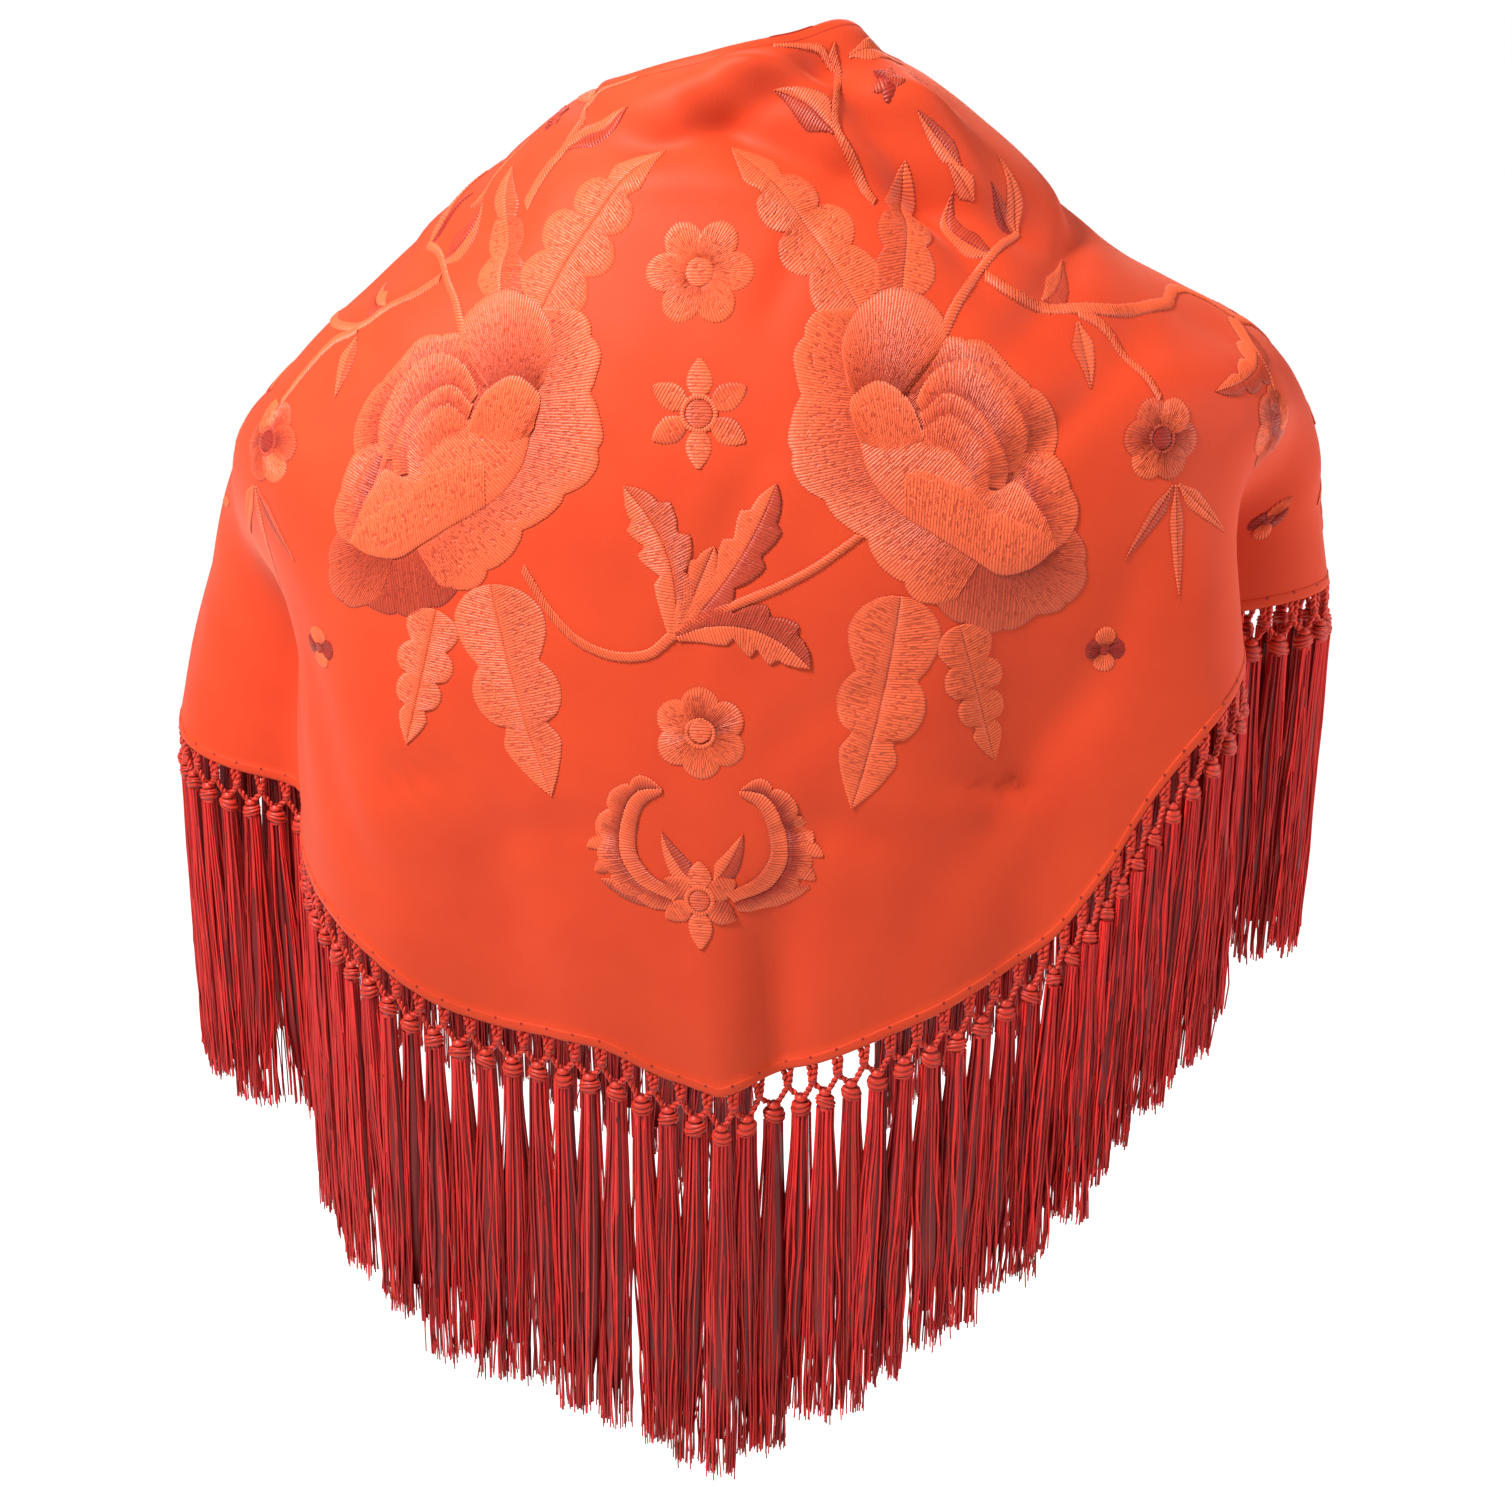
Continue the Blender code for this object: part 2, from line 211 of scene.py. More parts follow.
EDGE_LEFT = (
    EdgeStop(0.00, -2, 0.000),
    EdgeStop(0.14, 22, 0.000),
    EdgeStop(0.30, 50, 0.000),
    EdgeStop(0.44, 75, 0.000),
    EdgeStop(0.54, 96, -0.002),
    EdgeStop(0.61, 116, -0.012),
    EdgeStop(0.69, 135, -0.050),
    EdgeStop(0.79, 147, -0.135),
    EdgeStop(0.89, 156, -0.265),
    EdgeStop(1.00, 170.4, -0.458),
)
EDGE_RIGHT = (
    EdgeStop(0.00, -2, 0.000),
    EdgeStop(0.14, -24, 0.000),
    EdgeStop(0.30, -52, 0.000),
    EdgeStop(0.44, -76, 0.000),
    EdgeStop(0.54, -97, -0.002),
    EdgeStop(0.61, -117, -0.012),
    EdgeStop(0.69, -135, -0.048),
    EdgeStop(0.79, -146, -0.122),
    EdgeStop(0.89, -154, -0.232),
    EdgeStop(1.00, -169.4, -0.398),
)


class Crease(NamedTuple):
    """A soft trough or ridge on the pattern: middle, direction, reach along and across, depth, in mm."""

    x: float
    y: float
    turn: float
    length: float
    width: float
    bend: float
    depth: float


CREASES = (
    Crease(-80, 44, 130, 58, 8, -5, -7.0),
    Crease(-97, 36, 128, 52, 9, -5, 3.6),
    Crease(-30, 21, 14, 52, 7, 4, -4.0),
    Crease(-28, 8, 8, 54, 6, 3, 2.4),
    Crease(38, 26, 160, 50, 8, 4, -3.2),
    Crease(10, 330, 92, 84, 42, 0, 3.0),
    Crease(-22, 352, 86, 56, 7, 4, 1.5),
    Crease(-40, 356, 84, 60, 9, 6, -2.0),
    Crease(20, 360, 98, 40, 10, -3, -0.9),
    Crease(62, 332, 100, 48, 12, 5, 1.7),
    Crease(112, 286, 12, 22, 4, 3, -2.2),
    Crease(114, 295, 8, 16, 4, 2, 1.1),
    Crease(55, 302, 6, 26, 5, 3, -2.2),
    Crease(-64, 297, -8, 24, 5, 3, -2.2),
    Crease(-121, 281, -10, 24, 4, 3, -2.4),
    Crease(-122, 290, -6, 16, 4, 2, 1.1),
    Crease(-152, 250, 62, 66, 11, -8, -2.8),
    Crease(-126, 312, 70, 48, 12, 5, 1.9),
    Crease(-92, 336, 78, 42, 11, -4, -1.7),
    Crease(160, 288, 112, 64, 13, 8, -2.6),
    Crease(132, 330, 104, 44, 12, -5, 1.8),
    Crease(205, 258, 100, 56, 11, 4, -2.6),
    Crease(176, 200, 96, 46, 11, 4, 0.8),
    Crease(2, 32, 4, 60, 7, 6, -1.8),
    Crease(-2, 52, 176, 44, 6, -4, 1.3),
    Crease(-14, 190, 70, 44, 8, 4, -1.6),
    Crease(-52, 252, 30, 34, 8, 4, -1.6),
    Crease(-44, 74, 62, 34, 7, 3, -1.7),
    Crease(-148, 138, 40, 48, 8, 6, -2.8),
    Crease(-196, 176, 74, 40, 10, 5, -1.3),
    Crease(-222, 205, 84, 34, 9, 0, 1.1),
    Crease(-166, 90, 22, 48, 8, 5, -4.0),
    Crease(118, 58, 150, 48, 9, 5, -3.2),
    Crease(150, 98, 146, 40, 10, 4, 1.6),
    Crease(262, 210, 92, 60, 12, 6, -1.4),
    Crease(292, 200, 96, 56, 13, -4, 1.2),
    Crease(330, 220, 86, 70, 13, 6, -1.6),
    Crease(368, 240, 98, 76, 14, -6, 1.3),
    Crease(404, 260, 88, 70, 12, 5, -1.5),
    Crease(-268, 170, 92, 46, 12, 6, -1.3),
    Crease(-300, 190, 84, 54, 13, -4, 1.2),
    Crease(-336, 200, 96, 60, 12, 5, -1.6),
    Crease(-372, 220, 86, 60, 13, -5, 1.2),
    Crease(-402, 250, 94, 54, 12, 4, -1.4),
)


class Ripple(NamedTuple):
    """A faint wave all over the cloth: its length and direction on the pattern, and its height."""

    wavelength: float
    turn: float
    phase: float
    height: float


RIPPLES = (
    Ripple(71, 24, 0.4, 0.22),
    Ripple(53, 108, 1.9, 0.18),
    Ripple(38, 64, 3.1, 0.10),
    Ripple(27, 151, 5.0, 0.06),
)


def hermite(stops: list[float], values: list[float], at: Array) -> Array:
    """Cubic curve through short lists of stops and values.

    Args:
        stops: rising places of the values.
        values: the curve's values there.
        at: places to read.

    Returns:
        The curve at every entry of at.
    """
    at = np.asarray(at, float)
    places = np.asarray(stops, float)
    heights = np.asarray(values, float)
    slopes = np.gradient(heights, places)
    span = np.clip(np.searchsorted(places, at, side="right") - 1, 0, len(places) - 2)
    width = places[span + 1] - places[span]
    t = (at - places[span]) / width
    start = (2 * t**3 - 3 * t**2 + 1) * heights[span] + (t**3 - 2 * t**2 + t) * width * slopes[span]
    end = (3 * t**2 - 2 * t**3) * heights[span + 1] + (t**3 - t**2) * width * slopes[span + 1]
    return start + end


def smooth(share: Array) -> Array:
    """0 to 1 with a soft start and end."""
    share = np.clip(share, 0, 1)
    return share * share * (3 - 2 * share)


def read_table(table: Array, row: Array, column: Array) -> Array:
    """Reads a table between its entries.

    Args:
        table: a grid of values.
        row: fractional row of each reading.
        column: fractional column of each reading.

    Returns:
        The values, blended from the four nearest entries.
    """
    row = np.clip(row, 0, table.shape[0] - 1.001)
    column = np.clip(column, 0, table.shape[1] - 1.001)
    i = row.astype(int)
    j = column.astype(int)
    a = row - i
    b = column - j
    near = table[i, j] * (1 - b) + table[i, j + 1] * b
    far = table[i + 1, j] * (1 - b) + table[i + 1, j + 1] * b
    return near * (1 - a) + far * a


@dataclass
class Drape:
    """The cloth's outer face, read by bearing and level or by place on the pattern."""

    reach: float = 176.0
    bearing_count: int = 1057
    level_end: float = 8.8
    level_count: int = 529
    pattern_reach: float = 640.0
    step: float = 0.001
    lift_fade: float = 4.0
    level_run: float = 0.045
    full_share: float = 0.6
    end_share: float = 0.25

    def __post_init__(self) -> None:
        """Measures the form once, so that the pattern and the form can be read from each other."""
        bearings = np.linspace(-self.reach, self.reach, self.bearing_count)
        levels = np.linspace(0, self.level_end, self.level_count)
        turn, level = np.meshgrid(np.radians(bearings), levels, indexing="ij")
        points = self.smooth_face(turn, level)
        spine = self.bearing_count // 2
        down = np.linalg.norm(np.diff(points[spine], axis=0), axis=1)
        self.down_mm = np.concatenate([[0.0], np.cumsum(down)]) / MM
        steps = np.linalg.norm(np.diff(points, axis=0), axis=2)
        across = np.concatenate([np.zeros((1, self.level_count)), np.cumsum(steps, axis=0)])
        self.across_mm = (across - across[spine]) / MM
        places = np.linspace(-self.pattern_reach, self.pattern_reach, int(2 * self.pattern_reach) + 1)
        columns = [np.interp(places, self.across_mm[:, j], bearings) for j in range(self.level_count)]
        self.bearing_at = np.stack(columns, axis=1)
        self.levels = levels

    def size(self, name: str, level: Array) -> Array:
        """One size of the sections, read between them."""
        return hermite(range(len(SECTIONS)), [getattr(s, name) for s in SECTIONS], level)

    def level_at(self, height: Array) -> Array:
        """Level whose section lies at a height."""
        return np.interp(-np.asarray(height, float), [-s.height for s in SECTIONS], range(len(SECTIONS)))

    def radius(self, turn: Array, level: Array) -> Array:
        """Distance of the plain form from the neck's axis."""
        side = np.where(np.sin(turn) > 0, self.size("left", level), self.size("right", level))
        depth = np.where(np.cos(turn) > 0, self.size("back", level), self.size("front", level))
        square = self.size("square", level)
        reach = np.abs(np.sin(turn) / side) ** square + np.abs(np.cos(turn) / depth) ** square
        return reach ** (-1.0 / square)

    def plain(self, turn: Array, level: Array) -> Array:
        """Point on the form without its folds."""
        radius = self.radius(turn, level)
        fade = np.clip(1 - level / self.lift_fade, 0, 1) ** 2
        lifts = hermite([s.bearing for s in NECK_LIFTS], [s.rise for s in NECK_LIFTS], np.degrees(turn))
        height = self.size("height", level) + fade * lifts
        return np.stack([radius * np.sin(turn), radius * np.cos(turn), height], axis=-1)

    def fold_depth(self, turn: Array, level: Array) -> Array:
        """How far the large folds move the cloth out of the plain form."""
        radius = self.radius(turn, level)
        height = self.size("height", level)
        bearing = np.degrees(turn)
        depth = np.zeros_like(radius)
        for fall in FALLS:
            down = (height - fall.height_top) / (fall.height_foot - fall.height_top)
            centre = fall.bearing_top + (fall.bearing_foot - fall.bearing_top) * np.clip(down, 0, 1)
            across = radius * np.radians(bearing - centre)
            depth += fall.depth * smooth(down / self.full_share) * np.exp(-((across / fall.spread) ** 2))
        for roll in ROLLS:
            along = (bearing - roll.bearing_a) / (roll.bearing_b - roll.bearing_a)
            centre = roll.level_a + (roll.level_b - roll.level_a) * np.clip(along, 0, 1)
            across = (level - centre) * self.level_run
            ends = smooth(along / self.end_share) * smooth((1 - along) / self.end_share)
            depth += roll.depth * ends * np.exp(-((across / roll.spread) ** 2))
        return depth

    def crease_depth(self, x: Array, y: Array) -> Array:
        """How far the small creases and ripples move the cloth, in metres."""
        depth = np.zeros_like(x)
        for crease in CREASES:
            turn = math.radians(crease.turn)
            along = (x - crease.x) * math.cos(turn) + (y - crease.y) * math.sin(turn)
            across = (y - crease.y) * math.cos(turn) - (x - crease.x) * math.sin(turn)
            across = across - crease.bend * (along / crease.length) ** 2
            shape = np.exp(-((across / crease.width) ** 2) - (along / crease.length) ** 4)
            depth += crease.depth * shape
        for ripple in RIPPLES:
            turn = math.radians(ripple.turn)
            along = x * math.cos(turn) + y * math.sin(turn)
            depth += ripple.height * np.sin(2 * math.pi * along / ripple.wavelength + ripple.phase)
        return depth * MM

    def outward(self, surface: Callable[[Array, Array], Array], turn: Array, level: Array) -> Array:
        """Unit normal of a surface, pointing away from the wearer.

        Args:
            surface: gives a point for a bearing in radians and a level.
            turn: bearings in radians.
            level: levels.

        Returns:
            One unit vector for each entry.
        """
        round_way = surface(turn + self.step, level) - surface(turn - self.step, level)
        down_way = surface(turn, level + self.step) - surface(turn, level - self.step)
        normal = np.cross(round_way, down_way)
        return normal / np.linalg.norm(normal, axis=-1, keepdims=True)

    def smooth_face(self, turn: Array, level: Array) -> Array:
        """The outer face with its large folds."""
        lift = self.fold_depth(turn, level)[..., None]
        return self.plain(turn, level) + self.outward(self.plain, turn, level) * lift

    def face(self, turn: Array, level: Array) -> Array:
        """The outer face with its large folds, small creases and ripples."""
        x, y = self.pattern_of(turn, level)
        lift = (self.fold_depth(turn, level) + self.crease_depth(x, y))[..., None]
        return self.plain(turn, level) + self.outward(self.plain, turn, level) * lift

    def pattern_of(self, turn: Array, level: Array) -> tuple[Array, Array]:
        """Place on the pattern, in millimetres, of a point on the form."""
        row = (np.degrees(turn) + self.reach) / (2 * self.reach) * (self.bearing_count - 1)
        column = level / self.level_end * (self.level_count - 1)
        return read_table(self.across_mm, row, column), np.interp(level, self.levels, self.down_mm)

    def place(self, x: Array, y: Array) -> tuple[Array, Array]:
        """Bearing in radians and level of a place on the pattern."""
        level = np.interp(y, self.down_mm, self.levels)
        column = level / self.level_end * (self.level_count - 1)
        return np.radians(read_table(self.bearing_at, x + self.pattern_reach, column)), level

    def lifted(self, x: Array, y: Array, lift: Array) -> Array:
        """Point above a place on the pattern.

        Args:
            x: millimetres to the left of the spine.
            y: millimetres down from the nape.
            lift: height above the cloth in metres, below it if negative.

        Returns:
            Points in the frame.
        """
        turn, level = self.place(x, y)
        return self.face(turn, level) + self.outward(self.face, turn, level) * lift[..., None]


@dataclass
class Panel:
    """The cut triangle on the drape.

    A share runs along the hem from the right front end (-1) past the point (0) to the left front
    end (1), and down runs from the long edge (0) to the hem (1).
    """

    drape: Drape
    samples: int = 800

    def __post_init__(self) -> None:
        """Measures both hems."""
        self.hems = {sign: self.measure(stops) for sign, stops in ((-1, HEM_RIGHT), (1, HEM_LEFT))}
        self.lengths = {sign: hem[0][-1] for sign, hem in self.hems.items()}

    def measure(self, stops: tuple[HemStop, ...]) -> tuple[Array, Array, Array]:
        """Length, bearing and height along one hem, from the point."""
        sign = 1 if stops[-1].bearing > stops[0].bearing else -1
        fine = np.linspace(sign * stops[0].bearing, sign * stops[-1].bearing, self.samples)
        height = hermite([sign * s.bearing for s in stops], [s.height for s in stops], fine)
        points = self.drape.smooth_face(np.radians(sign * fine), self.drape.level_at(height))
        steps = np.linalg.norm(np.diff(points, axis=0), axis=1)
        return np.concatenate([[0.0], np.cumsum(steps)]), sign * fine, height

    def at(self, share: Array, down: Array) -> tuple[Array, Array]:
        """Bearing in radians and level of a place on the panel."""
        share, down = np.broadcast_arrays(np.asarray(share, float), np.asarray(down, float))
        bearing = np.zeros(share.shape)
        level = np.zeros(share.shape)
        for sign, edge in ((-1, EDGE_RIGHT), (1, EDGE_LEFT)):
            length, hem_bearing, hem_height = self.hems[sign]
            mine = share * sign >= 0
            part = np.abs(share[mine])
            shares = [s.share for s in edge]
            edge_bearing = hermite(shares, [s.bearing for s in edge], part)
            edge_level = self.drape.level_at(hermite(shares, [s.height for s in edge], part))
            foot = np.interp(part * length[-1], length, hem_bearing)
            foot_level = self.drape.level_at(np.interp(part * length[-1], length, hem_height))
            bearing[mine] = edge_bearing + (foot - edge_bearing) * down[mine]
            level[mine] = edge_level + (foot_level - edge_level) * down[mine]
        return np.radians(bearing), level

    def share_of(self, along: Array) -> Array:
        """Share at a hem length from the point, in metres, positive to the left."""
        along = np.asarray(along, float)
        return np.where(along > 0, along / self.lengths[1], along / self.lengths[-1])

    def inset(self, share: Array, millimetres: Array, from_hem: bool) -> tuple[Array, Array]:
        """Place a little way in from an edge.

        Args:
            share: shares along the hem.
            millimetres: distance in from the edge; outside it if negative.
            from_hem: True for the hem, False for the long edge.

        Returns:
            Bearings in radians and levels.
        """
        end, near = (1.0, 0.98) if from_hem else (0.0, 0.02)
        edge = self.drape.smooth_face(*self.at(share, np.full(np.shape(share), end)))
        inside = self.drape.smooth_face(*self.at(share, np.full(np.shape(share), near)))
        run = np.linalg.norm(edge - inside, axis=-1) / abs(end - near) / MM
        down = end + (near - end) / abs(end - near) * millimetres / run
        return self.at(share, down)


@dataclass
class MeshBag:
    """Collects points, faces and readings, and turns them into one piece."""

    points: list[Array] = field(default_factory=list)
    quads: list[Array] = field(default_factory=list)
    fans: list[list[int]] = field(default_factory=list)
    tone: list[Array] = field(default_factory=list)
    core: list[Array] = field(default_factory=list)
    flat: list[Array] = field(default_factory=list)
    count: int = 0

    def add(self, points: Array, quads: Array, tone: Array, core: Array, flat: Array) -> int:
        """Adds a patch.

        Args:
            points: its points, one row each.
            quads: four point numbers for each face, counted within the patch.
            tone: how dark each point's thread is, 0 to 1.
            core: how far inside the patch each point lies, 0 to 1.
            flat: two texture coordinates for each point, in units of 100 mm.

        Returns:
            Number of the patch's first point in the bag.
        """
        first = self.count
        self.points.append(points)
        self.quads.append(quads + first)
        self.tone.append(np.broadcast_to(tone, len(points)))
        self.core.append(np.broadcast_to(core, len(points)))
        self.flat.append(flat)
        self.count += len(points)
        return first

    def build(self, name: str, material: bpy.types.Material) -> bpy.types.Object:
        """Makes the piece, shaded smooth, with its readings as attributes."""
        points = np.concatenate(self.points)
        quads = np.concatenate(self.quads)
        mesh = bpy.data.meshes.new(name)
        loops = [quads.ravel()] + [np.array(fan) for fan in self.fans]
        totals = np.concatenate([np.full(len(quads), 4), [len(fan) for fan in self.fans]]).astype(np.int32)
        corners = np.concatenate(loops).astype(np.int32)
        mesh.vertices.add(len(points))
        mesh.vertices.foreach_set("co", points.astype(np.float32).ravel())
        mesh.loops.add(len(corners))
        mesh.loops.foreach_set("vertex_index", corners)
        mesh.polygons.add(len(totals))
        starts = np.concatenate([[0], np.cumsum(totals)[:-1]]).astype(np.int32)
        mesh.polygons.foreach_set("loop_start", starts)
        mesh.polygons.foreach_set("loop_total", totals)
        mesh.update(calc_edges=True)
        flat = np.concatenate(self.flat)[corners]
        mesh.uv_layers.new(name="stitch").data.foreach_set("uv", flat.astype(np.float32).ravel())
        for label, values in (("tone", self.tone), ("core", self.core)):
            reading = mesh.attributes.new(label, "FLOAT", "POINT")
            reading.data.foreach_set("value", np.concatenate(values).astype(np.float32))
        mesh.validate()
        mesh.shade_smooth()
        mesh.materials.append(material)
        piece = bpy.data.objects.new(name, mesh)
        bpy.context.scene.collection.objects.link(piece)
        return piece


def grid_quads(rows: int, columns: int) -> Array:
    """Faces of a grid of points stored row by row."""
    corner = np.arange(rows - 1)[:, None] * columns + np.arange(columns - 1)[None, :]
    return np.stack([corner, corner + 1, corner + columns + 1, corner + columns], axis=-1).reshape(-1, 4)


def ring_quads(rings: int, sides: int) -> Array:
    """Faces of a tube whose rings of points are stored one after the other."""
    ring = np.arange(rings - 1)[:, None] * sides
    side = np.arange(sides)[None, :]
    after = (side + 1) % sides
    return np.stack([ring + side, ring + after, ring + after + sides, ring + side + sides], axis=-1).reshape(-1, 4)


def linear(code: str) -> tuple[float, float, float, float]:
    """Linear colour of an sRGB hex code such as #e8472e."""
    parts = [int(code[i : i + 2], 16) / 255 for i in (1, 3, 5)]
    low, high = 12.92, 1.055
    return (*[p / low if p <= 0.04045 else ((p + 0.055) / high) ** 2.4 for p in parts], 1.0)


def add_node(tree: bpy.types.NodeTree, kind: str, inputs: dict | None = None, **settings: object) -> bpy.types.Node:
    """Adds one node.

    Args:
        tree: the material's node tree.
        kind: the node's type.
        inputs: value or output socket for each input, by name or number.
        **settings: the node's own properties.

    Returns:
        The node.
    """
    made = tree.nodes.new(kind)
    for name, value in settings.items():
        setattr(made, name, value)
    for name, value in (inputs or {}).items():
        socket = made.inputs[name]
        if isinstance(value, bpy.types.NodeSocket):
            tree.links.new(value, socket)
        else:
            socket.default_value = value
    return made


def blend_colour(tree: bpy.types.NodeTree, share: object, low: object, high: object) -> bpy.types.NodeSocket:
    """Mixes two colours and returns the result's socket."""
    mixed = add_node(tree, "ShaderNodeMix", {0: share, 6: low, 7: high}, data_type="RGBA")
    return mixed.outputs[2]


def calculate(tree: bpy.types.NodeTree, operation: str, *values: object) -> bpy.types.NodeSocket:
    """Works out one number from others and returns its socket."""
    made = add_node(tree, "ShaderNodeMath", dict(enumerate(values)), operation=operation)
    return made.outputs[0]


def new_material(name: str) -> tuple[bpy.types.Material, bpy.types.NodeTree, bpy.types.Node]:
    """An empty material, its node tree and its Principled shader."""
    made = bpy.data.materials.new(name)
    made.use_nodes = True
    return made, made.node_tree, made.node_tree.nodes["Principled BSDF"]


@dataclass(frozen=True)
class CrepeFinish:
    """Polyester crepe, woven from hard-twisted yarn: a matte, faintly pebbled face with a soft bloom."""

    body: str = "#d34520"
    shade: str = "#c2381a"
    bloom: str = "#ffa288"
    pebble_mm: float = 1.1
    yarn_mm: float = 0.9
    mottle_mm: float = 34.0

    def make(self) -> bpy.types.Material:
        """Builds the material; the yarn is drawn about twice its real 0.45 mm so that it shows."""
        made, tree, shader = new_material("crepe_woven")
        flat = add_node(tree, "ShaderNodeUVMap", uv_map="stitch").outputs[0]
        mottle = add_node(tree, "ShaderNodeTexNoise", {"Vector": flat, "Scale": 100 / self.mottle_mm, "Detail": 2.0})
        colour = blend_colour(tree, mottle.outputs["Fac"], linear(self.body), linear(self.shade))
        pebble = add_node(tree, "ShaderNodeTexNoise", {"Vector": flat, "Scale": 100 / self.pebble_mm, "Detail": 3.0})
        parts = add_node(tree, "ShaderNodeSeparateXYZ", {0: flat})
        turns = 2 * math.pi * 100 / self.yarn_mm
        warp = calculate(tree, "SINE", calculate(tree, "MULTIPLY", parts.outputs[0], turns))
        weft = calculate(tree, "SINE", calculate(tree, "MULTIPLY", parts.outputs[1], turns))
        weave = calculate(tree, "MULTIPLY", calculate(tree, "MULTIPLY", warp, weft), 0.18)
        relief = calculate(tree, "ADD", weave, pebble.outputs["Fac"])
        grain = calculate(tree, "MULTIPLY", calculate(tree, "SUBTRACT", relief, 0.5), 0.22)
        shader_colour = blend_colour(tree, calculate(tree, "ADD", grain, 0.08), colour, linear(self.shade))
        bump = add_node(tree, "ShaderNodeBump", {"Height": relief, "Strength": 0.22, "Distance": 0.0004})
        tree.links.new(shader_colour, shader.inputs["Base Color"])
        tree.links.new(bump.outputs[0], shader.inputs["Normal"])
        shader.inputs["Roughness"].default_value = 0.62
        shader.inputs["Specular IOR Level"].default_value = 0.20
        shader.inputs["Sheen Weight"].default_value = 0.20
        shader.inputs["Sheen Roughness"].default_value = 0.40
        shader.inputs["Sheen Tint"].default_value = linear(self.bloom)
        return made


@dataclass(frozen=True)
class SatinFinish:
    """Rayon embroidery floss laid in satin stitch: lustrous parallel threads, with painted shade in the grooves between
    them and at the needle points.
    """

    light: str = "#ee663d"
    dark: str = "#8c1f19"
    # painted shade colour for the grooves between threads and for the needle points
    gap_painted_shade: str = "#962616"
    bloom: str = "#ffb391"
    row_mm: float = 1.3
    prick_mm: float = 2.7

    def make(self) -> bpy.types.Material:
        """Builds the material; tone picks the floss, core keeps the needle points off the rims, and grooves and needle
        points are mixed towards the gap colour as painted shade.
        """
        made, tree, shader = new_material("floss_satin_stitched")
        flat = add_node(tree, "ShaderNodeUVMap", uv_map="stitch").outputs[0]
        tone = add_node(tree, "ShaderNodeAttribute", attribute_name="tone").outputs["Fac"]
        core = add_node(tree, "ShaderNodeAttribute", attribute_name="core").outputs["Fac"]
        parts = add_node(tree, "ShaderNodeSeparateXYZ", {0: flat})
        turns = 2 * math.pi * 100 / self.row_mm
        wave = calculate(tree, "COSINE", calculate(tree, "MULTIPLY", parts.outputs[1], turns))
        groove = calculate(tree, "POWER", calculate(tree, "MULTIPLY_ADD", wave, 0.5, 0.5), 2.0)
        stretch = {0: flat, 1: (100 / self.prick_mm, 100 / self.row_mm, 1.0)}
        scaled = add_node(tree, "ShaderNodeVectorMath", stretch, operation="MULTIPLY").outputs[0]
        speck = add_node(tree, "ShaderNodeTexNoise", {"Vector": scaled, "Scale": 1.0, "Detail": 1.0})
        prick = add_node(tree, "ShaderNodeMapRange", {0: speck.outputs["Fac"], 1: 0.53, 2: 0.63})
        pricked = calculate(tree, "MULTIPLY", prick.outputs[0], core)
        fine = add_node(tree, "ShaderNodeTexNoise", {"Vector": scaled, "Scale": 3.1, "Detail": 2.0})
        shade = calculate(tree, "MULTIPLY_ADD", fine.outputs["Fac"], 0.22, -0.11)
        floss = blend_colour(tree, calculate(tree, "ADD", tone, shade), linear(self.light), linear(self.dark))
        # painted shade: the grooves between threads and the needle points are darkened towards the gap colour
        painted_groove_shade = calculate(tree, "MAXIMUM", calculate(tree, "MULTIPLY", groove, 0.40), calculate(tree, "MULTIPLY", pricked, 0.62))
        colour = blend_colour(tree, painted_groove_shade, floss, linear(self.gap_painted_shade))
        relief = calculate(tree, "MULTIPLY", calculate(tree, "ADD", groove, pricked), -1.0)
        bump = add_node(tree, "ShaderNodeBump", {"Height": relief, "Strength": 0.6, "Distance": 0.0004})
        tree.links.new(colour, shader.inputs["Base Color"])
        tree.links.new(bump.outputs[0], shader.inputs["Normal"])
        shader.inputs["Roughness"].default_value = 0.42
        shader.inputs["Specular IOR Level"].default_value = 0.27
        shader.inputs["Sheen Weight"].default_value = 0.12
        shader.inputs["Sheen Roughness"].default_value = 0.4
        shader.inputs["Sheen Tint"].default_value = linear(self.bloom)
        return made


@dataclass(frozen=True)
class CordFinish:
    """Twisted rayon cord and loose thread, spun and knotted by hand: bright on top and deep between, the depth between
    being painted shade carried by tone.
    """

    name: str
    light: str
    dark: str
    roughness: float = 0.42
    fleck_mm: float = 5.0

    def make(self) -> bpy.types.Material:
        """Builds the material; tone makes each thread a little lighter or darker than the next, and also carries
        painted shade between wraps, on a skirt's inner side and in its dark core.
        """
        made, tree, shader = new_material(self.name)
        flat = add_node(tree, "ShaderNodeUVMap", uv_map="stitch").outputs[0]
        tone = add_node(tree, "ShaderNodeAttribute", attribute_name="tone").outputs["Fac"]
        fleck = add_node(tree, "ShaderNodeTexNoise", {"Vector": flat, "Scale": 100 / self.fleck_mm, "Detail": 2.0})
        drift = calculate(tree, "MULTIPLY_ADD", fleck.outputs["Fac"], 0.5, -0.25)
        share = calculate(tree, "ADD", tone, drift)
        colour = blend_colour(tree, share, linear(self.light), linear(self.dark))
        tree.links.new(colour, shader.inputs["Base Color"])
        shader.inputs["Roughness"].default_value = self.roughness
        shader.inputs["Specular IOR Level"].default_value = 0.30
        return made


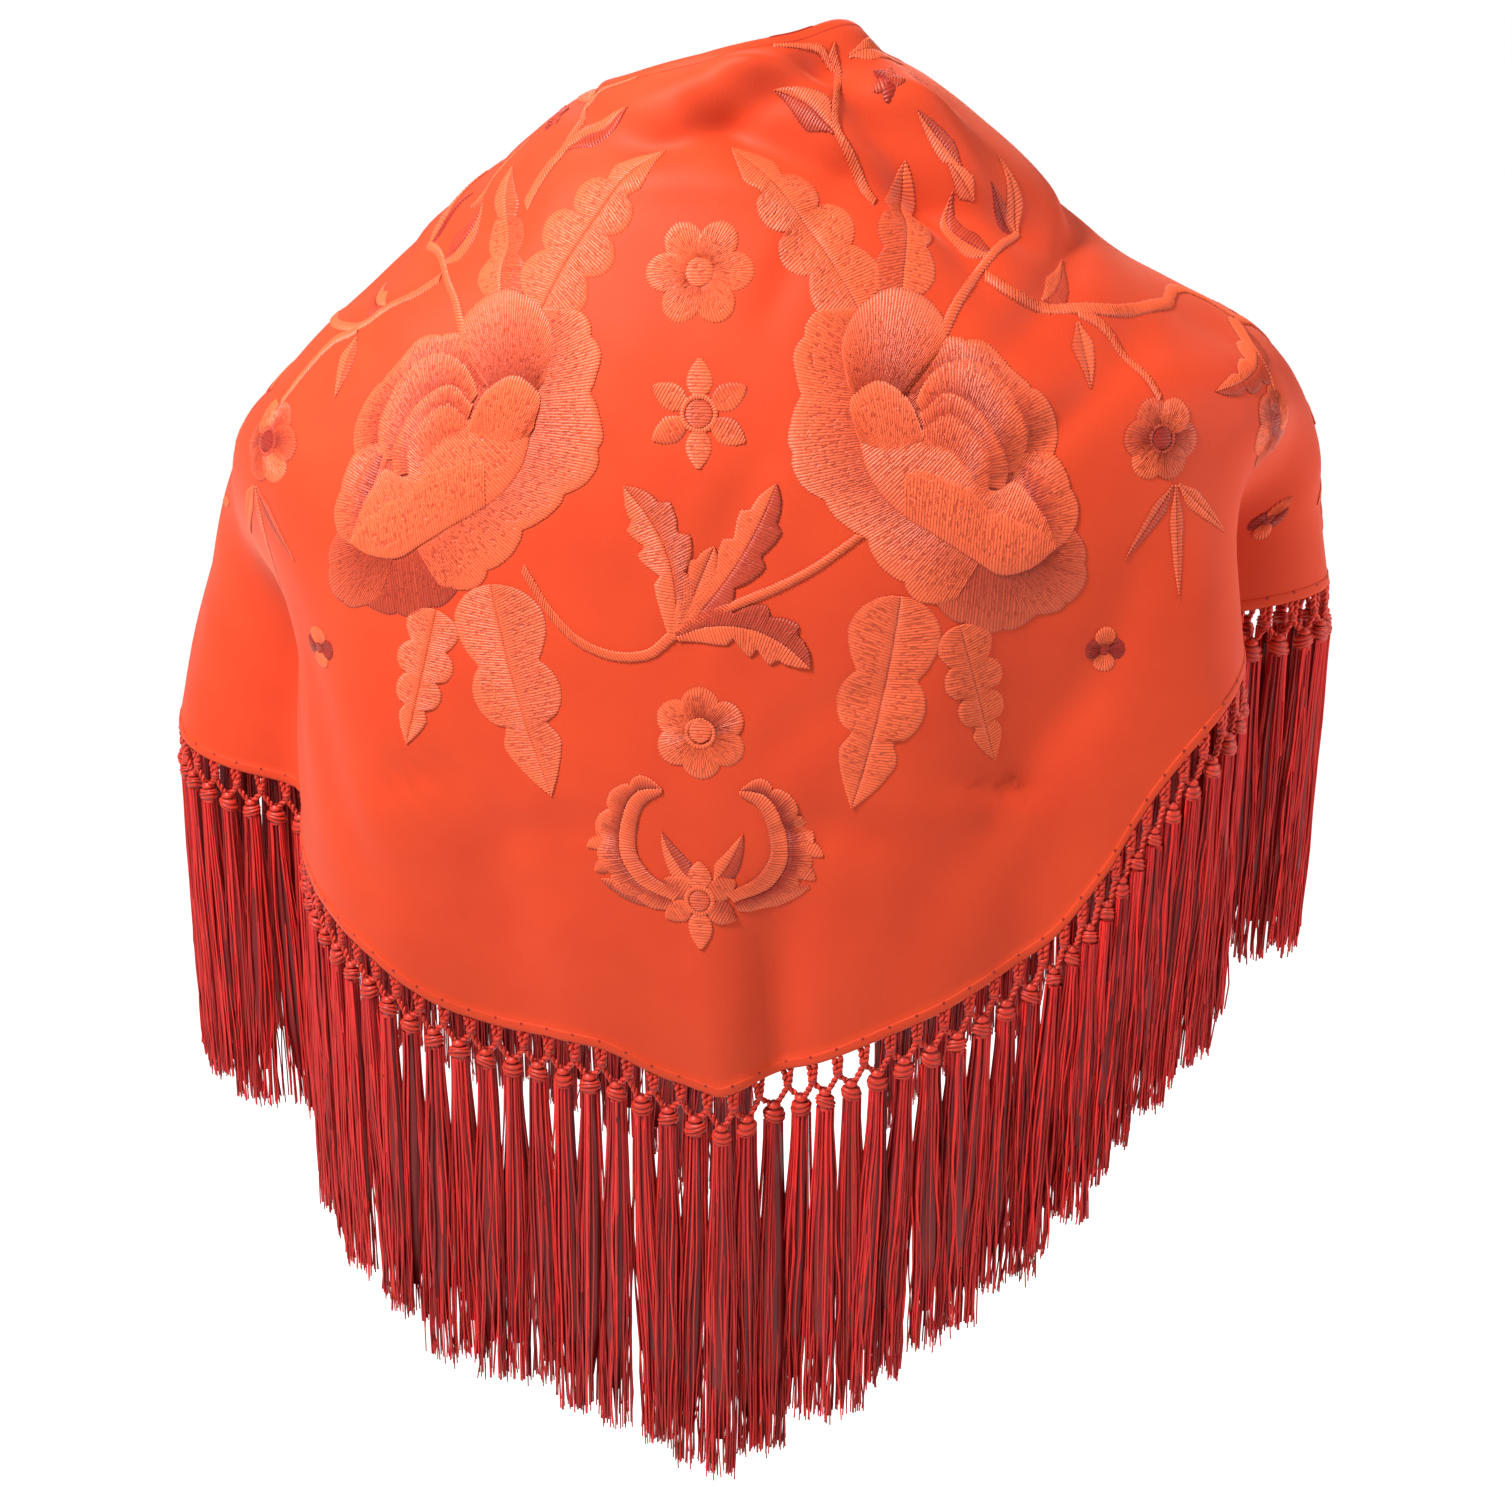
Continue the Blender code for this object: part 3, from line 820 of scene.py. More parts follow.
@dataclass(frozen=True)
class FloorFinish:
    """Matte white studio sweep, evenly lit so that it stays pale."""

    paint: str = "#fbfbfa"
    glow: float = 0.88

    def make(self) -> bpy.types.Material:
        """Builds the material."""
        made, tree, shader = new_material("sweep_matte_white")
        grain = add_node(tree, "ShaderNodeTexNoise", {"Scale": 3.0})
        colour = blend_colour(tree, grain.outputs["Fac"], linear(self.paint), linear("#f8f8f8"))
        tree.links.new(colour, shader.inputs["Base Color"])
        shader.inputs["Roughness"].default_value = 0.9
        shader.inputs["Emission Color"].default_value = linear("#ffffff")
        shader.inputs["Emission Strength"].default_value = self.glow
        return made


def settle(piece: bpy.types.Object, slot: str, *nodes: str) -> bpy.types.Object:
    """Makes a piece ride on the shawl and stand for its solids."""
    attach(piece, "root")
    if nodes:
        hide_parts(*nodes)
    LOG.info("%s: %d faces", piece.name, len(piece.data.polygons))
    return piece


@dataclass
class ClothPanel:
    """The crepe triangle: a thin shell on the drape, and the narrow rolled hem round it."""

    panel: Panel
    columns: int = 288
    rows: int = 98
    thickness: float = 0.7 * MM
    hem_step: float = 2.9
    hem_profile: tuple[tuple[float, float], ...] = (
        (4.3, 0.00),
        (4.0, 0.26),
        (3.2, 0.38),
        (1.4, 0.40),
        (0.3, 0.28),
        (-0.15, -0.15),
        (-0.15, -0.70),
        (0.30, -1.05),
        (3.9, -1.05),
        (4.3, -0.70),
    )

    def shell(self, material: bpy.types.Material) -> bpy.types.Object:
        """The cloth itself, closed round its rim."""
        drape = self.panel.drape
        share = np.linspace(-1, 1, self.columns + 1)[:, None]
        down = np.linspace(0, 1, self.rows + 1)[None, :]
        turn, level = self.panel.at(share, down)
        outer = drape.face(turn, level)
        inner = outer - drape.outward(drape.face, turn, level) * self.thickness
        x, y = drape.pattern_of(turn, level)
        flat = np.stack([x, y], axis=-1).reshape(-1, 2) / 100
        bag = MeshBag()
        faces = grid_quads(self.columns + 1, self.rows + 1)
        bag.add(outer.reshape(-1, 3), faces[:, ::-1], 0.0, 0.0, flat)
        bag.add(inner.reshape(-1, 3), faces, 0.0, 0.0, flat)
        rim = self.rim_numbers()
        after = np.roll(rim, -1)
        bag.quads.append(np.stack([rim, after, after + outer.size // 3, rim + outer.size // 3], axis=-1))
        return bag.build("cloth_panel", material)

    def rim_numbers(self) -> Array:
        """Numbers of the outer face's border points, in order round the panel."""
        wide, tall = self.columns + 1, self.rows + 1
        numbers = np.arange(wide * tall).reshape(wide, tall)
        return np.concatenate([numbers[:-1, 0], numbers[-1, :-1], numbers[:0:-1, -1], numbers[0, :0:-1]])

    def hem(self, name: str, from_hem: bool, material: bpy.types.Material) -> bpy.types.Object:
        """A rolled edge along the hem or along the long edge.

        Args:
            name: the piece's name.
            from_hem: True for the hem, False for the long edge.
            material: its finish.

        Returns:
            The piece.
        """
        drape = self.panel.drape
        count = int((self.panel.lengths[1] + self.panel.lengths[-1]) / MM / self.hem_step)
        share = np.linspace(-0.998, 0.998, count)
        rings = []
        flats = []
        for inset, lift in self.hem_profile:
            turn, level = self.panel.inset(share, inset, from_hem)
            rings.append(drape.face(turn, level) + drape.outward(drape.face, turn, level) * lift * MM)
            flats.append(np.stack(drape.pattern_of(turn, level), axis=-1) / 100)
        points = np.stack(rings, axis=1)
        sides = len(self.hem_profile)
        bag = MeshBag()
        faces = ring_quads(count, sides)
        if from_hem:
            faces = faces[:, ::-1]
        bag.add(points.reshape(-1, 3), faces, 0.0, 0.0, np.stack(flats, axis=1).reshape(-1, 2))
        bag.fans = [list(range(sides)), list(range((count - 1) * sides, count * sides))[::-1]]
        return bag.build(name, material)

    def build(self, material: bpy.types.Material) -> tuple[bpy.types.Object, list[bpy.types.Object]]:
        """Makes the shell and both rolled edges."""
        shell = settle(self.shell(material), CLOTH_SLOT, "shawl_cloth")
        hem = settle(self.hem("hem_short_edges", True, material), CLOTH_SLOT)
        edge = settle(self.hem("hem_long_edge", False, material), CLOTH_SLOT)
        return shell, [hem, edge]


class Side(Enum):
    """Where a motif stands on the embroidery."""

    RIGHT = "right"
    LEFT = "left"
    AXIS = "axis"


class Tone(Enum):
    """How dark a floss is, from 0 to 1."""

    PALE = 0.00
    CORAL = 0.10
    DUSKY = 0.38
    DEEP = 0.72
    MAROON = 0.95


AXIS_X = -6.0
LEFT_START = 34.0
LEFT_STRETCH = 0.10
LEFT_FAR_START = 150.0
LEFT_FAR_STRETCH = 0.42
LEFT_FAR_MOST = 12.0
LEFT_DROP = 11.0
LEFT_DROP_START = 112.0
LEFT_DROP_RUN = 42.0
LEFT_TOP_START = 98.0
LEFT_TOP_RUN = 55.0


def on_pattern(points: Array, side: Side) -> Array:
    """Sets motif points on the pattern.

    Args:
        points: distance from the embroidery's axis and distance down from the nape, in mm.
        side: where the motif stands. The left is drawn wider, as the cloth is pulled there.

    Returns:
        The points' x and y on the pattern.
    """
    away, down = points[..., 0], points[..., 1]
    if side is not Side.LEFT:
        return np.stack([AXIS_X - away, down], axis=-1)
    wide = LEFT_STRETCH * np.maximum(away - LEFT_START, 0)
    wide = wide + np.clip(LEFT_FAR_STRETCH * (away - LEFT_FAR_START), 0, LEFT_FAR_MOST)
    top = np.clip((LEFT_TOP_START - down) / LEFT_TOP_RUN, 0, 1) * (9 + 0.06 * away) * smooth(away / 10)
    drop = LEFT_DROP * smooth((away - LEFT_DROP_START) / LEFT_DROP_RUN)
    return np.stack([AXIS_X + away + wide + top, down + drop], axis=-1)


def curve(points: tuple[tuple[float, float], ...], count: int = 41) -> Array:
    """Smooth path through a few points, in even steps.

    Args:
        points: the path's points.
        count: how many points the result has.

    Returns:
        The path.
    """
    stops = np.asarray(points, float)
    gaps = np.linalg.norm(np.diff(stops, axis=0), axis=1)
    length = np.concatenate([[0.0], np.cumsum(gaps)])
    fine = np.linspace(0, length[-1], count)
    return np.stack([hermite(length, stops[:, axis], fine) for axis in (0, 1)], axis=-1)


def even_steps(path: Array, count: int) -> Array:
    """The same path in a given number of even steps."""
    gaps = np.linalg.norm(np.diff(path, axis=0), axis=1)
    length = np.concatenate([[0.0], np.cumsum(gaps)])
    at = np.linspace(0, length[-1], count)
    return np.stack([np.interp(at, length, path[:, axis]) for axis in (0, 1)], axis=-1)


def unit(vectors: Array) -> Array:
    """Vectors of length one in the same directions."""
    return vectors / np.maximum(np.linalg.norm(vectors, axis=-1, keepdims=True), 1e-9)


def sideways(path: Array) -> Array:
    """Unit vectors square to a path."""
    along = unit(np.gradient(path, axis=0))
    return np.stack([-along[:, 1], along[:, 0]], axis=-1)


class Rim(NamedTuple):
    """How many rounds a petal's rim has, and how deep the notches between them are, in mm."""

    scallops: int
    depth: float


class Lobe(NamedTuple):
    """One round of a scalloped leaf's edge: where it ends along the midrib, and its width."""

    end: float
    width: float


PLAIN_LEAF = (Lobe(1.0, 1.0),)
THREE_LOBES = (Lobe(0.36, 1.0), Lobe(0.64, 0.97), Lobe(1.0, 0.74))
ACANTHUS = (Lobe(0.40, 0.72), Lobe(0.62, 1.0), Lobe(0.81, 0.92), Lobe(1.0, 0.58))
FOUR_LOBES = (Lobe(0.27, 0.92), Lobe(0.50, 1.0), Lobe(0.71, 0.80), Lobe(1.0, 0.58))


def pointed_width(t: Array, lobes: tuple[Lobe, ...]) -> Array:
    """Half width of a leaf whose lobes are points that lean towards the tip."""
    width = np.zeros_like(t)
    start = 0.0
    low = 0.16
    for number, lobe in enumerate(lobes):
        share = np.clip((t - start) / (lobe.end - start), 0, 1)
        if number == len(lobes) - 1:
            shape = low + (lobe.width - low) * smooth(share / 0.3)
            shape = shape * (1 - share**2.2)
        else:
            notch = 0.62 * lobe.width
            rise = low + (lobe.width - low) * np.sin(0.5 * math.pi * np.minimum(share / 0.86, 1)) ** 0.9
            shape = np.where(share < 0.86, rise, lobe.width + (notch - lobe.width) * (share - 0.86) / 0.14)
            low = notch
        width = np.where((t >= start) & (t <= lobe.end), shape, width)
        start = lobe.end
    return width


def lobed_width(t: Array, lobes: tuple[Lobe, ...]) -> Array:
    """Half width of a leaf along its midrib, as a share of its widest."""
    if lobes is ACANTHUS:
        return pointed_width(t, lobes)
    width = np.zeros_like(t)
    start = 0.0
    notch = 0.62
    for number, lobe in enumerate(lobes):
        share = np.clip((t - start) / (lobe.end - start), 0, 1)
        low = 0.16 if number == 0 else notch
        if number == len(lobes) - 1:
            opening = low + (1 - low) * smooth(share / 0.34)
            shape = opening * (1 - share**1.8)
        else:
            rise = np.maximum(np.sin(math.pi * share), 0) ** 0.6
            floor = low + (notch - low) * share
            shape = floor + (1 - floor) * rise
        here = (t >= start) & (t <= lobe.end)
        width = np.where(here, lobe.width * shape, width)
        start = lobe.end
    return width


@dataclass
class StitchWork:
    """Satin stitches laid between pairs of rails on one piece of embroidery."""

    drape: Drape
    seed: int
    pitch: float = 1.3
    crown: float = 0.62
    layer_step: float = 0.21
    groove: float = 0.52
    # darkening of each patch's rim lines, partly painted shade
    rim_painted_shade: float = 0.45
    bag: MeshBag = field(default_factory=MeshBag)

    def __post_init__(self) -> None:
        """Seeds the unevenness of the stitches."""
        self.random = np.random.default_rng(self.seed)

    def satin(
        self,
        rail_a: Array,
        rail_b: Array,
        side: Side,
        tone: Tone,
        layer: float = 0.0,
        tone_end: Tone | None = None,
        crown: float | None = None,
    ) -> None:
        """Lays stitches from one rail to the other.

        Args:
            rail_a: where the stitches start, as motif points.
            rail_b: where they end.
            side: where the motif stands.
            tone: floss at the start.
            layer: how many layers of stitches lie under these.
            tone_end: floss at the end, if it changes.
            crown: height of the stitches in mm, if not the usual one.
        """
        rail_a = on_pattern(rail_a, side)
        rail_b = on_pattern(rail_b, side)
        height = self.crown if crown is None else crown
        run = max(np.linalg.norm(np.diff(rail, axis=0), axis=1).sum() for rail in (rail_a, rail_b))
        stitches = max(3, round(run / self.pitch))
        lines = 2 * stitches + 1
        start = even_steps(rail_a, lines)
        end = even_steps(rail_b, lines)
        reach = np.linalg.norm(end - start, axis=1)
        ridge = np.arange(lines) % 2 == 1
        over = np.where(ridge, self.random.uniform(0.05, 0.42, lines), -0.10)
        over = np.minimum(over, 0.2 * reach + 0.02)
        way = unit(end - start)
        start = start - way * over[:, None]
        end = end + way * over[:, None]
        t = np.array(self.stops(float(np.mean(reach))))
        places = start[:, None] * (1 - t)[None, :, None] + end[:, None] * t[None, :, None]
        rise = np.sqrt(np.maximum(1 - np.abs(2 * t - 1) ** 5, 0))[None, :]
        slack = self.random.uniform(0.86, 1.08, (lines, 1))
        body = np.where(ridge[:, None], slack, self.groove * slack)
        full = height * np.minimum(1.0, 0.35 + np.mean(reach) / 7)
        lift = (self.layer_step * layer + 0.03 + full * rise * body) * MM
        self.lay(places, lift, t, reach, tone, tone_end or tone)

    def stops(self, reach: float) -> tuple[float, ...]:
        """Where a stitch has points, closer together near its ends."""
        if reach < 4.5:
            return (0.0, 0.16, 0.5, 0.84, 1.0)
        if reach < 12:
            return (0.0, 0.06, 0.22, 0.5, 0.78, 0.94, 1.0)
        return (0.0, 0.03, 0.10, 0.26, 0.5, 0.74, 0.90, 0.97, 1.0)

    def lay(self, places: Array, lift: Array, t: Array, reach: Array, tone: Tone, tone_end: Tone) -> None:
        """Adds one patch of stitches to the bag.

        Args:
            places: pattern points, one row for each line of the patch.
            lift: height above the cloth at each of them.
            t: shares along a line.
            reach: length of each line.
            tone: floss at the start of the lines.
            tone_end: floss at their end.
        """
        lines, points = places.shape[:2]
        offset = self.random.uniform(0, 300)
        row = np.arange(lines) / 2 + self.random.integers(0, 200)
        flat_u = t[None, :] * reach[:, None] + offset
        flat = np.stack(np.broadcast_arrays(flat_u / 100, row[:, None] * self.pitch / 100), axis=-1)
        shades = tone.value + (tone_end.value - tone.value) * smooth(t)[None, :]
        shades = shades + self.random.normal(0, 0.04, (lines, 1))
        # painted shade: the first and last line of each patch are darkened, a thin dark outline that is partly the
        # stitches dipping into the cloth and partly painted shade along the rim
        shades[:, (0, -1)] += self.rim_painted_shade
        shades = np.clip(shades, 0, 1)
        inside = smooth((0.5 - np.abs(t - 0.5)) / 0.3)[None, :] * smooth((reach - 5) / 6)[:, None]
        solid = self.drape.lifted(places[..., 0], places[..., 1], lift)
        faces = grid_quads(lines, points)
        across = places[:-1, -1] - places[:-1, 0]
        along = np.diff(places[:, points // 2], axis=0)
        if np.sum(across[:, 0] * along[:, 1] - across[:, 1] * along[:, 0]) < 0:
            faces = faces[:, ::-1]
        self.bag.add(
            solid.reshape(-1, 3), faces, shades.ravel(), inside.ravel() * np.ones(lines * points), flat.reshape(-1, 2)
        )

    def stem(
        self,
        points: tuple[tuple[float, float], ...],
        side: Side,
        width: float = 3.0,
        tone: Tone = Tone.CORAL,
        layer: float = 0.0,
        taper: float = 0.7,
    ) -> None:
        """A raised cord of crosswise stitches along a path."""
        path = curve(points, 61)
        t = np.linspace(0, 1, len(path))[:, None]
        half = sideways(path) * width / 2 * (1 - (1 - taper) * t)
        slant = unit(np.gradient(path, axis=0)) * width * 0.25
        self.satin(path - half - slant, path + half + slant, side, tone, layer, crown=0.95)

    def leaf(
        self,
        base: tuple[float, float],
        tip: tuple[float, float],
        half_width: float,
        side: Side,
        lobes: tuple[Lobe, ...] = PLAIN_LEAF,
        bend: float = 0.0,
        tones: tuple[Tone, Tone] = (Tone.PALE, Tone.CORAL),
        layer: float = 0.0,
        slant: float = 0.05,
    ) -> None:
        """Two halves of satin stitch that meet at a midrib.

        Args:
            base: where the leaf joins its stem.
            tip: its point.
            half_width: width of one half at its widest.
            side: where the leaf stands.
            lobes: rounds of its edge.
            bend: how far the midrib bows, in mm.
            tones: floss of each half; the lighter and the darker half are partly real floss colour and partly painted
                sheen and shade, as satin laid in two directions catches the light differently.
            layer: how many layers lie under it.
            slant: how far the stitches lean towards the tip, as a share of the length.
        """
        t = np.linspace(0, 1, 61)
        start = np.array(base, float)
        end = np.array(tip, float)
        way = unit(end - start)
        square = np.array([-way[1], way[0]])
        rib = start + (end - start) * t[:, None] + square * (bend * 4 * t * (1 - t))[:, None]
        rib_at = np.clip(t - slant * np.sin(math.pi * t), 0, 1)
        rail = np.stack([np.interp(rib_at, t, rib[:, axis]) for axis in (0, 1)], axis=-1)
        width = half_width * lobed_width(t, lobes)
        out = sideways(rib)
        # each half takes its own floss, partly painted sheen and shade
        for sign, tone, over in ((1, tones[0], 0.25), (-1, tones[1], 0.0)):
            edge = rib + out * (sign * width)[:, None]
            self.satin(rail, edge, side, tone, layer + over)

    def oval(
        self,
        base: tuple[float, float],
        tip: tuple[float, float],
        half_width: float,
        side: Side,
        tone: Tone = Tone.CORAL,
        layer: float = 0.0,
        tone_end: Tone | None = None,
    ) -> None:
        """A pointed petal of crosswise stitches."""
        t = np.linspace(0.02, 0.985, 31)
        start = np.array(base, float)
        way = np.array(tip, float) - start
        square = np.array([-way[1], way[0]]) / np.linalg.norm(way)
        width = half_width * np.sin(math.pi * t**0.82) ** 0.75
        rib = start + way * t[:, None]
        off = square * width[:, None]
        self.satin(rib - off, rib + off, side, tone, layer, tone_end)

    def disc(
        self, centre: tuple[float, float], radius: float, side: Side, tone: Tone = Tone.CORAL, layer: float = 0.0
    ) -> None:
        """A round of level stitches."""
        turn = np.linspace(-0.47 * math.pi, 0.47 * math.pi, 31)
        height = np.sin(turn) * radius
        reach = np.cos(turn) * radius
        middle = np.array(centre, float)
        left = middle + np.stack([-reach, height], axis=-1)
        right = middle + np.stack([reach, height], axis=-1)
        self.satin(left, right, side, tone, layer)

    def ring(
        self,
        centre: tuple[float, float],
        radius: float,
        width: float,
        side: Side,
        tone: Tone = Tone.CORAL,
        layer: float = 0.0,
    ) -> None:
        """A round cord of stitches."""
        turn = np.linspace(0, 2 * math.pi, 49)
        spokes = np.stack([np.cos(turn), np.sin(turn)], axis=-1)
        middle = np.array(centre, float)
        inner = middle + spokes * (radius - width / 2)
        outer = middle + spokes * (radius + width / 2)
        self.satin(inner, outer, side, tone, layer, crown=0.9)

    def round_petal(
        self,
        centre: tuple[float, float],
        turn: float,
        near: float,
        far: float,
        half_width: float,
        side: Side,
        tone: Tone = Tone.CORAL,
        layer: float = 0.0,
        tone_end: Tone | None = None,
    ) -> None:
        """A round petal whose stitches fan out from the flower's middle.

        Args:
            centre: the flower's middle.
            turn: the petal's direction in degrees, 0 away from the axis and 90 down.
            near: distance of its root from the middle.
            far: distance of its rim from the middle.
            half_width: half its width.
            side: where the flower stands.
            tone: floss at the root.
            layer: how many layers lie under it.
            tone_end: floss at the rim, if it changes.
        """
        angle = math.radians(turn)
        way = np.array([math.cos(angle), math.sin(angle)])
        square = np.array([-way[1], way[0]])
        middle = np.array(centre, float)
        long_half = (far - near) / 2
        sweep = np.linspace(-0.86, 0.86, 41) * math.pi
        rim = middle + way * (near + long_half)
        rim = rim + way * (long_half * np.cos(sweep))[:, None] + square * (half_width * np.sin(sweep))[:, None]
        spread = np.linspace(-1, 1, 41) * half_width * 0.34
        root = middle + way * near + square * spread[:, None]
        self.satin(root, rim, side, tone, layer, tone_end)

    def shell_petal(
        self,
        root: tuple[tuple[float, float], ...],
        rim: tuple[tuple[float, float], ...],
        side: Side,
        edge: Rim,
        tone: Tone = Tone.CORAL,
        layer: float = 0.0,
        tone_end: Tone | None = None,
    ) -> None:
        """A broad petal between a root line and a scalloped rim.

        Args:
            root: points of the root line.
            rim: points of the rim, running the same way.
            side: where the flower stands.
            edge: rounds of the rim.
            tone: floss at the root.
            layer: how many layers lie under it.
            tone_end: floss at the rim, if it changes.
        """
        inner = curve(root, 121)
        outer = curve(rim, 121)
        if edge.scallops:
            t = np.linspace(0, 1, len(outer))
            wave = np.abs(np.sin(math.pi * edge.scallops * t)) ** 0.55 - 0.75
            outer = outer + unit(outer - inner) * (edge.depth * wave)[:, None]
        self.satin(inner, outer, side, tone, layer, tone_end)

    def finish(self, name: str, material: bpy.types.Material) -> bpy.types.Object:
        """Turns the stitches into a piece."""
        return settle(self.bag.build(name, material), CLOTH_SLOT)


class Shell(NamedTuple):
    """One petal of the rose, in motif points."""

    name: str
    root: tuple[tuple[float, float], ...]
    rim: tuple[tuple[float, float], ...]
    edge: Rim
    layer: float
    tone: Tone
    tone_end: Tone


# The arcs' darker roots are partly the floss's own dusky colour and partly painted shade, drawing the dark line where
# each arc tucks under the one above it.
ROSE = (
    Shell(
        "inside",
        ((60, 130), (66, 164), (92, 186), (112, 199), (134, 192)),
        ((84, 124), (106, 120), (122, 134), (130, 152), (136, 176)),
        Rim(0, 0.0),
        0.0,
        Tone.DUSKY,
        Tone.DEEP,
    ),
    Shell(
        "under petal",
        ((90, 184), (102, 190), (116, 194), (130, 188)),
        ((89, 207), (100, 216), (115, 220), (129, 214)),
        Rim(3, 2.2),
        0.3,
        Tone.DEEP,
        Tone.DUSKY,
    ),
    Shell(
        "far lower petal",
        ((114, 194), (126, 192), (131, 184)),
        ((123, 214), (139, 211), (146, 199), (145, 189), (139, 179)),
        Rim(3, 1.8),
        0.7,
        Tone.DEEP,
        Tone.DUSKY,
    ),
    Shell(
        "outer petal",
        ((60, 100), (57, 118), (62, 132), (64, 148), (71, 163), (83, 173), (97, 179), (106, 192)),
        ((56, 99), (44, 101), (37, 112), (38, 125), (37, 138), (35, 150), (40, 161), (50, 171), (61, 181), (71, 193), (83, 205), (96, 208)),
        Rim(7, 3.2),
        0.9,
        Tone.DUSKY,
        Tone.PALE,
    ),
    Shell(
        "first arc",
        ((80, 130), (90, 125), (102, 126), (111, 133), (118, 143), (120, 155)),
        ((75, 127), (81, 117), (93, 111), (107, 114), (117, 124), (128, 132), (134, 145), (133, 158)),
        Rim(3, 2.2),
        1.2,
        Tone.DEEP,
        Tone.CORAL,
    ),
    Shell(
        "second arc",
        ((85, 138), (93, 133), (102, 138), (109, 148), (113, 160)),
        ((81, 132), (87, 123), (98, 119), (110, 123), (119, 136), (123, 148), (121, 159)),
        Rim(2, 1.6),
        1.8,
        Tone.DEEP,
        Tone.PALE,
    ),
    Shell(
        "third arc",
        ((86, 145), (93, 140), (101, 145), (106, 154), (107, 164)),
        ((83, 137), (92, 130), (104, 136), (112, 147), (116, 157), (115, 166)),
        Rim(0, 0.0),
        2.4,
        Tone.DEEP,
        Tone.CORAL,
    ),
    Shell(
        "fourth arc",
        ((85, 151), (92, 152), (99, 158), (103, 167)),
        ((84, 143), (93, 137), (103, 143), (109, 152), (109, 166)),
        Rim(0, 0.0),
        2.9,
        Tone.DUSKY,
        Tone.CORAL,
    ),
    Shell(
        "far petal",
        ((117, 158), (123, 172), (131, 187)),
        ((120, 152), (131, 153), (139, 164), (142, 175), (139, 184), (133, 190)),
        Rim(2, 1.5),
        1.7,
        Tone.DUSKY,
        Tone.CORAL,
    ),
    Shell(
        "far crescent",
        ((120, 158), (125, 172), (131, 185)),
        ((123, 156), (131, 163), (135, 173), (134, 185)),
        Rim(0, 0.0),
        2.2,
        Tone.MAROON,
        Tone.DUSKY,
    ),
    Shell(
        "top petal",
        ((61, 133), (69, 134), (77, 132)),
        ((56, 126), (54, 110), (61, 98), (73, 93), (86, 99), (92, 109), (87, 119), (78, 128)),
        Rim(2, 0.9),
        2.6,
        Tone.DEEP,
        Tone.CORAL,
    ),
    Shell(
        "heart",
        ((61, 145), (64, 157), (71, 168), (82, 177), (95, 184), (104, 191), (114, 197), (125, 195), (134, 188)),
        ((72, 140), (84, 144), (95, 149), (103, 158), (111, 166), (119, 163), (126, 170), (134, 185)),
        Rim(4, 1.3),
        3.2,
        Tone.CORAL,
        Tone.PALE,
    ),
    Shell(
        "heart's lip",
        ((78, 174), (92, 183), (104, 191), (114, 197), (125, 195), (134, 188)),
        ((78, 157), (89, 158), (100, 163), (112, 173), (123, 178), (134, 186)),
        Rim(4, 1.8),
        3.9,
        Tone.CORAL,
        Tone.PALE,
    ),
    Shell(
        "small lobe",
        ((62, 147), (72, 151), (84, 147)),
        ((60, 144), (58, 131), (67, 125), (77, 130), (85, 145)),
        Rim(0, 0.0),
        4.0,
        Tone.CORAL,
        Tone.PALE,
    ),
)


@dataclass
class RoseSpray:
    """One large rose with its four scalloped leaves, on the right or the left."""

    drape: Drape
    side: Side
    seed: int

    def build(self, material: bpy.types.Material) -> bpy.types.Object:
        """Stitches the leaves first and the rose over their bases."""
        work = StitchWork(self.drape, self.seed)
        work.leaf((60, 101), (9, 36), 14.5, self.side, FOUR_LOBES, 3.0, (Tone.PALE, Tone.CORAL))
        work.leaf((75, 98), (79, 46), 12.0, self.side, THREE_LOBES, 0.0, (Tone.PALE, Tone.DUSKY))
        work.leaf((77, 204), (58, 288), 17.5, self.side, THREE_LOBES, -2.0, (Tone.CORAL, Tone.PALE))
        work.leaf((99, 216), (114, 272), 11.5, self.side, FOUR_LOBES, 0.0, (Tone.CORAL, Tone.PALE))
        for petal in ROSE:
            dark = self.side is Side.LEFT and petal.name == "under petal"
            tone, tone_end = (Tone.DEEP, Tone.DEEP) if dark else (petal.tone, petal.tone_end)
            work.shell_petal(petal.root, petal.rim, self.side, petal.edge, tone, petal.layer, tone_end)
        return work.finish(f"rose_spray_{self.side.value}", material)


